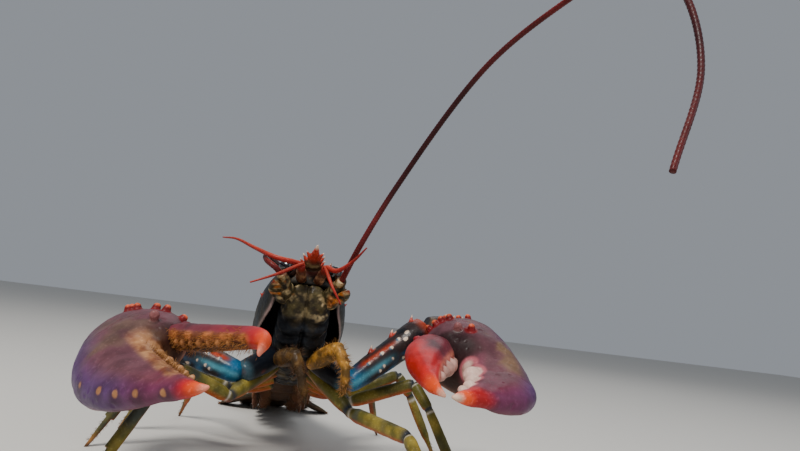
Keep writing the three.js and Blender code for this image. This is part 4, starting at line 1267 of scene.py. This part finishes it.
def claw_finger(claw):
    crusher = claw.name == "left"
    teeth = list(claw.finger_teeth_places())
    surfaces = [claw.loft(claw.finger, claw.finger_at, 72, 110, 2.1)]
    crest = claw.finger_at(6, claw.finger[1][2] - 2.5, 3)
    crest_way = unit(claw.v + 0.5 * claw.u)
    surfaces.append(ball(crest + crest_way * 1.2, [2.2, 3.2, 2.2], basis_for(crest_way)))
    for place, radius in teeth:
        surfaces.append(ball(place, radius * np.array([1, 0.95, 0.95]), claw.basis, 26, 18))

    def relief(points, normal):
        a, b, _ = claw.finger_local(points)
        trough = (
            -0.7 * ridge(b - claw.edge(claw.finger, a, 1) - 4.5, 2.2) * ramp(a, 2, 12)
            * (1 - ramp(a, 52, 62))
        )
        plain = np.ones(len(points))
        for place, radius in teeth:
            plain *= 1 - near(points, place, radius * 2)
        return (noise(points, 10, 71) * 0.2 + noise(points, 3, 72, 2) * 0.08 + trough) * plain

    def paint(points, normal):
        a, b, _ = claw.finger_local(points)
        inner, outer = claw.edge(claw.finger, a, 1), claw.edge(claw.finger, a, 2)
        across = np.clip((b - inner) / (outer - inner), 0, 1)
        small = noise(points, 5, 73)
        dusky = mix(tint(104, 44, 54), tint(74, 36, 44), patches(points, 12, 74, -0.2, 0.5))
        if crusher:
            red = np.maximum(ramp(a, 26, 44), ramp(across, 0.5, 0.85) * ramp(a, -6, 8))
            colour = mix(dusky, mix(tint(146, 32, 42), CORAL, ramp(a, 12, 40)), red)
        else:
            colour = mix(mix(dusky, tint(134, 36, 48), ramp(a, 22, 58)), CORAL, ramp(a, 54, 70))
        tip = claw.finger[-1][0]
        colour = layered(
            colour,
            (
                tint(196, 44, 34),
                ramp(across, 0.7, 1.0) * (ramp(a, 8, 40) if crusher else ramp(a, 44, 64)) * 0.5,
            ),
            (FLAME, ramp(a, tip - 11, tip - 3) * 0.85),
            (IVORY, ramp(a, tip - 3, tip) * (0.6 if crusher else 0.25)),
        )
        if crusher:
            colour = mix(
                colour,
                tint(210, 120, 96),
                (1 - ramp(across, 0.04, 0.2)) * ramp(a, 6, 14) * (1 - ramp(a, 56, 64)),
            )
        else:
            hairy = (1 - ramp(across, 0.18, 0.42)) * (1 - ramp(a, 58, 66))
            # Rusty hairs along the inner edge, and a dark line right at that edge: painted shade in the
            # gape.
            colour = layered(
                colour,
                (mix(RUST, tint(184, 110, 56), ramp(small, -0.2, 0.5)), hairy * 0.95),
                (tint(34, 20, 16), (1 - ramp(across, 0.0, 0.1)) * (1 - ramp(a, 60, 66)) * 0.8),
            )
        for place, radius in teeth:
            close = near(points, place, radius * 1.9)
            colour = layered(
                colour,
                (tint(168, 92, 84) if crusher else tint(108, 62, 34), ramp(close, 0.2, 0.6)),
                (TOOTH * 0.82 if crusher else tint(166, 110, 64), ramp(close, 0.7, 1.0)),
            )
        return colour

    extra = None
    if not crusher:
        rng = np.random.default_rng(27)
        a = rng.uniform(2, 62, FRINGE_HAIRS)
        lift = rng.normal(0.5, 2.2, FRINGE_HAIRS)
        roots = claw.finger_at(a, claw.edge(claw.finger, a, 1) + 0.6 + np.abs(lift) * 0.25, lift)
        ways = [0.25 * claw.u - claw.v + 0.14 * q * claw.w for q in lift]
        extra = (*hairs(roots, ways, 2.3, 0.1, seed=28), tint(176, 116, 58))
    piece(
        f"claw_{claw.name}_finger", surfaces, paint, "fingertip", voxel=0.45, smooth=3, relief=relief,
        extra=extra,
    )


# Arms

ARM_BLACK = tint(14, 18, 26)
ARM_BROWN = tint(46, 34, 34)
TURQUOISE = tint(28, 112, 158)
ARM_RED = tint(176, 58, 22)


def spined_paint(colour, points, tips, radius, root_colour=SPINE_RED, tip_colour=IVORY):
    for root, way, length in tips:
        reach = (points - root) @ way
        aside = np.linalg.norm(points - root - reach[:, None] * way, axis=1)
        on = (1 - ramp(aside, radius, radius * 1.5)) * (reach > -0.6)
        colour = layered(
            colour,
            (root_colour, on * ramp(reach, -0.6, length * 0.45)),
            (tip_colour, on * ramp(reach, length * 0.5, length * 0.85)),
        )
    return colour


HIP_ROWS = [
    [-0.12, 5.2, 5.4], [0.2, 6.2, 6.2], [0.7, 6, 5.8], [0.92, 5.7, 5.5], [0.98, 4.9, 4.7],
    [1.01, 3.4, 3.2], [1.025, 1.2, 1.1],
]
MERUS_ROWS = [
    [-0.035, 1.4, 1.3], [-0.02, 3.6, 3.4], [0.015, 5.2, 4.8], [0.06, 6.1, 5.6], [0.12, 6.6, 6],
    [0.5, 7.6, 7.2], [0.86, 9, 8.4], [0.98, 7.4, 7],
]


def add_arm(name):
    hip, knee, elbow = (ARMS[name][k] for k in ("hip", "knee", "elbow"))
    wrist = CLAWS[name]["wrist"]

    def hip_paint(points, normal):
        share = share_along(points, hip, knee)
        return layered(
            mix(ARM_BLACK, ARM_BROWN, patches(points, 9, 81, -0.1, 0.5)),
            (tint(60, 92, 104), ramp(share, 0.75, 0.95) * 0.7),
            (ARM_RED, patches(points, 14, 82, 0.2, 0.6) * 0.5),
        )

    surfaces = [bone(hip, knee, HIP_ROWS, count=48, rings=70)]
    piece(
        f"arm_{name}_hip",
        surfaces,
        hip_paint,
        "arm",
        voxel=0.5,
        smooth=3,
        relief=lambda p, n: noise(p, 5, 83) * 0.3 - 0.9 * ridge((p - hip) @ unit(knee - hip) - 34, 1.4),
    )

    way = unit(elbow - knee)
    out = unit(np.cross(way, V(0, 1, 0)))
    out = -out if out[2] < 0 else out
    under = unit(np.cross(way, out)) * (1 if np.cross(way, out)[1] < 0 else -1)
    surfaces = [bone(knee, elbow, MERUS_ROWS, count=56, rings=90)]
    tips = []
    for i in range(3):
        root = knee + (elbow - knee) * (0.35 + 0.27 * i) + out * (6.2 + 0.6 * i)
        tips.append((root, unit(out + 0.9 * way), 5))
    # A second row of small spinules faces forward.
    small = []
    rng = np.random.default_rng(77)
    for i in range(13):
        share, turn = 0.24 + 0.055 * i, rng.uniform(-0.9, 0.9)
        aside = unit(math.cos(turn) * under + math.sin(turn) * out)
        root = knee + (elbow - knee) * share + aside * (6.1 + 1.8 * share)
        small.append((root, unit(aside + 0.8 * way), rng.uniform(0.9, 1.9)))
    for root, direction, length in tips:
        surfaces.append(spine(root, direction, length, 1.7, curl=0.5, lift=way))
    for root, direction, length in small:
        surfaces.append(spine(root, direction, length, 0.52, sides=10))

    def merus_paint(points, normal):
        share = share_along(points, knee, elbow)
        up = (points - knee) @ out
        front = (points - knee) @ under
        colour = mix(ARM_BLACK, ARM_BROWN, patches(points, 9, 84, -0.2, 0.4))
        colour = mix(colour, tint(78, 66, 46), patches(points, 7, 85, 0.15, 0.6) * ramp(up, 0, 6) * 0.7)
        low = ramp(-up, 1.0, 5.0) * (1 - ramp(share, 0.62, 0.9))
        colour = layered(
            colour,
            (TURQUOISE, low * patches(points, 8, 86, -0.35, 0.25) * 0.85),
            (TURQUOISE, (1 - ramp(share, 0.06, 0.24)) * 0.6),
        )
        stripe = (
            ridge(up - 4.6, 1.0) * ramp(front, 0, 3) * ramp(share, 0.1, 0.25)
            * (1 - ramp(share, 0.45, 0.7))
        )
        colour = mix(colour, ARM_RED, stripe * 0.9)
        # A pale blue band along the front: a painted highlight.
        painted_gleam = ridge(up + 1.0, 1.6) * ramp(front, 2, 5) * (1 - ramp(share, 0.3, 0.6))
        colour = layered(
            colour,
            (tint(90, 170, 190), painted_gleam * 0.6),
            (ARM_RED, ramp(share, 0.86, 0.97) * 0.6),
        )
        colour = spined_paint(colour, points, small, 0.8, tint(60, 90, 110), IVORY)
        return spined_paint(colour, points, tips, 2.0)

    piece(
        f"arm_{name}_merus", surfaces, merus_paint, "arm", voxel=0.42, smooth=3,
        relief=lambda p, n: noise(p, 6, 87) * 0.35 + noise(p, 2, 88) * 0.1,
    )

    cuff_way = unit(wrist - elbow)
    surfaces = [
        bone(
            elbow,
            wrist,
            [[0, 7, 6.6], [0.16, 9, 8.6], [0.55, 10.8, 10.2], [0.88, 10, 9.6], [1, 7.5, 7]],
            count=64,
            rings=60,
        ),
    ]
    tips = []
    for i in range(4):
        spread = unit(V(0, -0.5 + 0.25 * i, 1))
        root = elbow + (wrist - elbow) * (0.25 + 0.17 * i) + spread * 8.6
        tips.append((root, unit(spread + 0.4 * cuff_way), 4.6))
    for i in range(4):
        spread = unit(V(0, -1, -0.1 + 0.28 * i))
        root = elbow + (wrist - elbow) * (0.3 + 0.16 * i) + spread * 9.2
        tips.append((root, unit(spread + 0.5 * cuff_way), 2.6))
    for root, direction, length in tips:
        surfaces.append(
            spine(root, direction, length, 1.8 if length > 3 else 1.3, curl=0.4, lift=cuff_way)
        )

    def carpus_paint(points, normal):
        share = share_along(points, elbow, wrist)
        colour = layered(
            mix(tint(50, 40, 38), tint(104, 82, 56), patches(points, 9, 91, -0.15, 0.5)),
            (tint(26, 28, 42), patches(points, 12, 92, -0.1, 0.4) * 0.8),
            (tint(60, 86, 100), ramp(-(points - elbow) @ V(0, 0, 1), 2, 9) * 0.6),
            (ARM_RED, ramp(share, 0.84, 0.97) * patches(points, 5, 93, -0.4, 0.3) * 0.9),
        )
        return spined_paint(colour, points, tips, 2.2, tint(186, 60, 34), tint(238, 190, 150))

    piece(
        f"arm_{name}_carpus", surfaces, carpus_paint, "arm", voxel=0.45, smooth=3,
        relief=lambda p, n: noise(p, 7, 94) * 0.4 + noise(p, 2.2, 95) * 0.12,
    )


# Walking legs

LEGS = {
    "left_1": {
        "s": 46, "hip": V(30, -46, 34), "knee": V(51, -90, 32), "foot": V(60, -128, 0), "pincer": True
    },
    "left_2": {
        "s": 34, "hip": V(33, -16, 35), "knee": V(66, -30, 50), "foot": V(92, -58, 0), "pincer": True
    },
    "left_3": {
        "s": 22, "hip": V(33, 9, 34), "knee": V(66, 14, 50), "foot": V(98, 20, 0), "pincer": False
    },
    "left_4": {
        "s": 11, "hip": V(28, 28, 32), "knee": V(52, 50, 45), "foot": V(72, 84, 0), "pincer": False
    },
    "right_1": {
        "s": 46, "hip": V(-31.5, -48, 36.5), "knee": V(-56, -63, 49.5), "foot": V(-84, -84, 0),
        "pincer": True,
    },
    "right_2": {
        "s": 34, "hip": V(-34, -9, 36), "knee": V(-68, -4, 51), "foot": V(-100, -14, 0), "pincer": True
    },
    "right_3": {
        "s": 22, "hip": V(-33, 11, 34), "knee": V(-64, 21, 50), "foot": V(-94, 36, 0), "pincer": False
    },
    "right_4": {
        "s": 11, "hip": V(-28, 29, 31), "knee": V(-50, 54, 44), "foot": V(-66, 92, 0), "pincer": False
    },
}
UPPER_ROWS = [
    [-0.05, 3.8, 4.2], [0.3, 4.4, 4.6], [0.8, 3.5, 3.8], [0.96, 2.5, 2.7], [1.06, 2.7, 3],
    [1.16, 3.3, 3.7], [1.6, 3.2, 3.6], [1.92, 3, 3.4], [2, 2.2, 2.5],
]
PINCER_ROWS = [[1.5, 2.2, 2.8], [2, 2.1, 2.9]]
CLAW_ROWS = [[1.3, 2.2, 2.8], [1.6, 1.9, 2.4], [1.68, 1.4, 1.7], [2, 0.6, 0.7]]
LOWER_ROWS = [[0, 2.3, 2.5], [0.3, 2.9, 3.1], [0.85, 2.7, 2.9], [0.98, 2, 2.2], [1.08, 2.2, 2.5]]


def along_polyline(points, joints):
    """How far along a jointed limb each point is: 1.25 is a quarter of the way past joint 1."""
    best = np.full(len(points), np.inf)
    place = np.zeros(len(points))
    for i, (a, b) in enumerate(zip(joints, joints[1:])):
        share = np.clip(share_along(points, a, b), 0, 1)
        gap = np.linalg.norm(points - a - share[:, None] * (b - a), axis=1)
        place = np.where(gap < best, i + share, place)
        best = np.minimum(gap, best)
    return place


def leg_colours(points, normal, place, joints):
    olive = mix(tint(84, 80, 36), tint(140, 124, 52), patches(points, 8, 101, -0.3, 0.5))
    colour = mix(olive, tint(46, 56, 62), patches(points, 11, 102, 0.05, 0.5) * 0.7)
    colour = mix(colour, tint(190, 84, 36), ramp(-normal[:, 2], 0.1, 0.8) * 0.75)
    for joint in joints:
        band = ridge(place - joint, 0.05)
        colour = mix(colour, tint(28, 40, 62), band * 0.85)
        pale = ridge(place - joint - 0.08, 0.022)
        colour = mix(colour, tint(198, 192, 180), pale * 0.7)
    return colour


def add_leg(name, leg):
    side = np.sign(leg["foot"][0])
    root = body(leg["s"], side * 10.5, -23.5)
    hip, knee, foot = leg["hip"], leg["knee"], leg["foot"]
    pincer = leg["pincer"]

    def upper_paint(points, normal):
        return leg_colours(points, normal, along_polyline(points, [root, hip, knee]), (0.97, 2.0))

    piece(
        f"leg_{name}_upper", [limb([root, hip, knee], UPPER_ROWS, count=40, rings=120)], upper_paint,
        "leg", voxel=0.42, smooth=2, relief=lambda p, n: noise(p, 3.5, 103) * 0.16,
    )
    wrist = knee + 0.3 * (foot - knee) + V(0, 0, 3)
    end = wrist + (foot - wrist) * (0.62 if pincer else 0.68)
    below = foot + V(0, 0, -0.6)
    rows = LOWER_ROWS + (PINCER_ROWS if pincer else CLAW_ROWS)
    joints = [knee, wrist, end if pincer else below]
    surfaces = [limb(joints, rows, count=40, rings=110)]
    if pincer:
        for turn in (-1, 1):
            surfaces.append(
                bone(
                    end + V(0, turn * 0.9, 0), below + V(0, turn * 1.2, 0),
                    [[-0.12, 1.5, 1.6], [0.4, 1.2, 1.3], [1, 0.6, 0.7]], count=24, rings=30,
                ),
            )

    def lower_paint(points, normal):
        place = along_polyline(points, joints)
        colour = leg_colours(points, normal, place, (0.0, 0.98))
        tip = ramp(10 - points[:, 2], 0, 8)
        return layered(
            colour,
            (tint(150, 96, 52), tip * 0.8),
            (tint(60, 42, 32), ramp(3.5 - points[:, 2], 0, 3) * 0.8),
        )

    roots, ways = bristle_roots(
        np.random.default_rng(33),
        end,
        foot,
        110,
        (0, 0.85),
        lambda share: (2.0 - 1.3 * share) if pincer else (1.3 - 0.5 * share),
        lambda out, axis: out * 0.8 + axis,
    )
    bristles = hairs(roots, ways, 1.7, 0.07, seed=34)
    piece(
        f"leg_{name}_lower", surfaces, lower_paint, "leg", voxel=0.34, smooth=2,
        relief=lambda p, n: noise(p, 3.0, 104) * 0.12, extra=(*bristles, tint(120, 86, 48)),
    )


# Abdomen and tail fan

GAP = 0.3
ABDOMEN = [
    [11, 17.5, 15.5, 26], [19, 20.5, 16.5, 30], [18.5, 20, 16, 26], [18.5, 19, 15.2, 21],
    [18.5, 18, 14.2, 15], [20, 16.5, 12.5, 8],
]
SWIMMERET_ROWS = [[-0.1, 2, 0.9], [0.6, 3.8, 0.8], [1, 1.4, 0.5]]
RING_PROFILE = [[0, 0.94], [0.1, 0.945], [0.25, 0.965], [0.29, 0.985], [0.7, 1.02], [0.93, 1.02], [1, 1]]


def abdomen_rings():
    """For each ring: its front, its direction, up, length, half width and height."""
    rings, spot = [], body(-GAP, 0, 1.5)
    for length, half, rise, slope in ABDOMEN:
        angle = math.radians(slope)
        way = V(0, math.cos(angle), -math.sin(angle))
        up = V(0, math.sin(angle), math.cos(angle))
        rings.append((spot, way, up, length, half, rise))
        spot = spot + way * length
    return rings


def tail_colours(points, normal, edge):
    """Dark blue-green backs with brown blotches, an orange-brown rim and paler undersides."""
    return layered(
        mix(tint(36, 40, 36), tint(70, 62, 38), patches(points, 14, 111, -0.2, 0.4)),
        (tint(32, 46, 60), patches(points, 18, 112, 0.1, 0.5) * 0.8),
        (tint(120, 66, 34), edge * 0.7),
        (tint(84, 58, 40), ramp(-normal[:, 2], 0.2, 0.8) * 0.7),
    )


def add_ring(index, rings):
    start, way, up, length, half, rise = rings[index]
    next_up = rings[min(index + 1, len(rings) - 1)][2]
    made = []
    angle = angles(96)
    sin = np.sin(angle)
    tall = np.where(sin > 0, rise * power(sin, 2 / 2.1), rise * 0.62 * power(sin, 2 / 3.5))
    wide = half * power(np.cos(angle), 2 / 2.3)
    for share, scale in fill_rows(RING_PROFILE, 56):
        reach = GAP + (length - 2 * GAP) * share
        lift = up + (next_up - up) * ramp(share, 0.75, 1.0)
        made.append(
            start + way * reach + (wide * scale)[:, None] * ACROSS + (tall * scale)[:, None] * lift
        )
    surfaces = [skin(made)]
    big = 0.5 if index == 0 else 1

    def swimmeret(side):
        root = start + way * length * 0.55 + ACROSS * side * half * 0.5 - up * rise * 0.55
        return root, root + way * 9 + ACROSS * side * 1.5 - up * 7.5

    for side in SIDES.values():
        top = start + way * length * 0.5 + ACROSS * side * (half - 2.6) - up
        tip = top + way * length * 0.26 + ACROSS * side * 1.2 - up * (rise * 0.62 + 7 * big)
        lobe = [
            [-0.1, length * 0.4, 2.2], [0.45, length * 0.38, 2], [0.8, length * 0.2, 1.3], [1, 0.8, 0.6]
        ]
        surfaces.append(bone(top, tip, lobe, lift=ACROSS, count=36, rings=34))
        if 0 < index < 5:
            surfaces.append(bone(*swimmeret(side), SWIMMERET_ROWS, lift=up, count=30, rings=30))
    extra = None
    if 0 < index < 5:
        rng = np.random.default_rng(40 + index)
        roots, ways = [], []
        for i in range(160):
            root, end = swimmeret(1 if i % 2 else -1)
            share = rng.uniform(0.35, 1.0)
            turn = 1 if rng.uniform() < 0.5 else -1
            wide_here = 3.6 * (1 - 0.6 * ramp(share, 0.6, 1.0))
            roots.append(root + share * (end - root) + ACROSS * turn * wide_here)
            ways.append(unit(end - root) + 0.8 * turn * ACROSS)
        extra = (*hairs(roots, ways, 2.6, 0.09, seed=41), tint(110, 78, 48))

    def relief(points, normal):
        reach = (points - start) @ way
        step = -0.55 * ridge(reach - length * 0.27, 0.8) * ramp((points - start) @ up, -4, 2)
        keel = 0.25 * ridge(points[:, 0], 2.5)
        return step + keel + noise(points, 5, 113) * 0.2 + noise(points, 2, 114) * 0.07

    def paint(points, normal):
        reach = (points - start) @ way
        low_edge = ramp(-((points - start) @ up), 6, 16)
        edge = np.maximum(ramp(reach, length - 2.6, length - 0.6), low_edge)
        colour = tail_colours(points, normal, edge)
        band = (1 - ramp(reach, length * 0.18, length * 0.3)) * ramp((points - start) @ up, 0, 4)
        colour = mix(colour, tint(64, 60, 44), band * 0.6)
        middle = start + way * length * 0.6 + up * rise * 0.6
        spots = [near(points, middle + side * ACROSS * half * 0.8, 4) for side in SIDES.values()]
        return mix(colour, tint(170, 104, 60), np.maximum(*spots) * 0.6)

    piece(
        f"abdomen_{index + 1}", surfaces, paint, "shell", voxel=0.5, smooth=2, relief=relief, extra=extra
    )


FAN_FLOOR = 0.6
BLADE_START = 0.04
BLADE_ROWS = [[0, 0.42, 1], [0.2, 0.72, 1], [0.6, 1, 0.85], [0.88, 0.88, 0.7], [1, 0.45, 0.45]]


def tail_fan(last):
    start, way, _, length, _, _ = last
    fan_root = start + way * length + way * GAP
    telson_root = fan_root + V(0, 0, 1)
    telson_tip = V(0, telson_root[1] + 33, FAN_FLOOR + 0.2)

    def blade_piece(name, root, tip, rows, squareness, seed):
        way = unit(tip - root)
        length = np.linalg.norm(tip - root)
        side = unit(np.cross(way, WORLD_UP))
        over = np.cross(side, way)

        def relief(points, normal):
            across = (points - root) @ side
            reach = (points - root) @ way
            rib = 0.28 * ridge(across, 1.3) + 0.12 * np.cos(across * 2.1) * ramp(reach, 8, 20)
            seam = -0.3 * ridge(reach - length * 0.78, 0.7)
            return (rib + seam) * ramp(normal @ over, 0.2, 0.7) + noise(points, 3, seed) * 0.06

        def paint(points, normal):
            reach = (points - root) @ way
            colour = tail_colours(points, normal, ramp(reach, length * 0.86, length * 0.97))
            return mix(colour, tint(86, 70, 44), 0.35 * ramp(noise(points, 4, seed + 1), -0.1, 0.5))

        rng = np.random.default_rng(seed)
        roots, ways = [], []
        widths = np.array(rows)
        for _ in range(420):
            turn = rng.uniform(-1, 1)
            share = 1.0 - 0.13 * abs(turn) ** 6 - 0.01
            reach = np.interp(share, widths[:, 0], widths[:, 1])
            roots.append(
                root + way * length * share + side * reach * turn * 0.98 + over * rng.uniform(-0.2, 0.2)
            )
            ways.append(way + 0.35 * turn * side)
        fringe = hairs(roots, ways, 3.2, 0.09, seed=seed)
        rows = [[BLADE_START, *rows[0][1:]]] + rows[1:]
        piece(
            name, [bone(root, tip, rows, count=56, rings=60, squareness=squareness)], paint, "shell",
            voxel=0.34, smooth=2, relief=relief, extra=(*fringe, tint(128, 86, 52)),
        )

    telson_rows = [[0, 11, 4.2], [0.3, 11.5, 3.2], [0.7, 10.6, 2.2], [0.93, 9.4, 1.6], [1, 6.5, 1.1]]
    blade_piece("telson", telson_root, telson_tip, telson_rows, 2.8, 121)
    for name, side in SIDES.items():
        for kind, root, spread, length, width in (
            ("inner", fan_root + V(side * 9.5, -1, -3.2), side * 0.36, 35, 8.6),
            ("outer", fan_root + V(side * 13, -3, -4), side * 0.82, 36, 9.6),
        ):
            tip = root + V(math.sin(spread), math.cos(spread), 0) * length
            tip[2] = FAN_FLOOR
            rows = [[share, width * wide, 1.7 * thick] for share, wide, thick in BLADE_ROWS]
            blade_piece(f"uropod_{name}_{kind}", root, tip, rows, 2.6, 131 if kind == "inner" else 141)


carapace()
underside()
for add in (add_eye, add_antennule, add_antenna, add_maxilliped):
    for name, side in SIDES.items():
        add(name, side)
for name in CLAWS:
    claw_palm(Claw(name))
    claw_finger(Claw(name))
for name in SIDES:
    add_arm(name)
for name, leg in LEGS.items():
    add_leg(name, leg)
tail = abdomen_rings()
for index in range(len(tail)):
    add_ring(index, tail)
tail_fan(tail[-1])


# The stage: a plain floor, three soft lamps and a pale room

floor_material = bpy.data.materials.new("plain_floor")
shader = nodes_of(floor_material)[2]
shader.inputs["Base Color"].default_value = (0.62, 0.6, 0.56, 1)
shader.inputs["Roughness"].default_value = 0.85
bpy.ops.mesh.primitive_plane_add(size=8, location=(0, 0, 0))
floor = bpy.context.object
floor.name = "floor"
floor.data.materials.append(floor_material)

room = bpy.data.worlds.new("room")
bpy.context.scene.world = room
room.use_nodes = True
room.node_tree.nodes["Background"].inputs["Color"].default_value = (0.8, 0.86, 0.95, 1)
room.node_tree.nodes["Background"].inputs["Strength"].default_value = 0.35


def lamp(name, place, target, size, power_watts, colour):
    data = bpy.data.lights.new(name, "AREA")
    data.shape = "SQUARE"
    data.size = size
    data.energy = power_watts
    data.color = colour
    made = bpy.data.objects.new(name, data)
    bpy.context.scene.collection.objects.link(made)
    made.location = place
    made.rotation_euler = (Vector(target) - Vector(place)).to_track_quat("-Z", "Y").to_euler()


lamp("key", (-0.45, -0.75, 1.15), (0, 0, 0.06), 0.45, 23, (1, 0.97, 0.92))
lamp("fill", (0.9, -0.75, 0.6), (0, 0, 0.06), 0.8, 4, (0.9, 0.95, 1))
lamp("back", (0.35, 0.85, 1.1), (0, 0, 0.08), 0.9, 3, (1, 1, 1))


# The photo's viewing angle, fitted for a picture of 800 by 451

PICTURE_WIDTH = 800
FOCAL_PIXELS = 640
SENSOR_WIDTH = 36

EYE_PLACE = V(-23.35, -382.22, 86.01)
YAW, TILT, ROLL = math.radians(11.295), math.radians(8), math.radians(7.139)
forward = V(math.sin(YAW) * math.cos(TILT), math.cos(YAW) * math.cos(TILT), math.sin(TILT))
level = V(math.cos(YAW), -math.sin(YAW), 0)
upright = np.cross(level, forward)
right = math.cos(ROLL) * level + math.sin(ROLL) * upright
top = -math.sin(ROLL) * level + math.cos(ROLL) * upright
lens = bpy.data.cameras.new("camera")
lens.sensor_fit = "HORIZONTAL"
lens.sensor_width = SENSOR_WIDTH
lens.lens = FOCAL_PIXELS / PICTURE_WIDTH * SENSOR_WIDTH
lens.clip_start = 0.005
camera = bpy.data.objects.new("camera", lens)
bpy.context.scene.collection.objects.link(camera)
turn = Matrix([list(row) for row in np.stack([right, top, -forward], 1)]).to_4x4()
camera.matrix_world = Matrix.Translation(Vector((EYE_PLACE + SHIFT) / 1000)) @ turn
bpy.context.scene.camera = camera
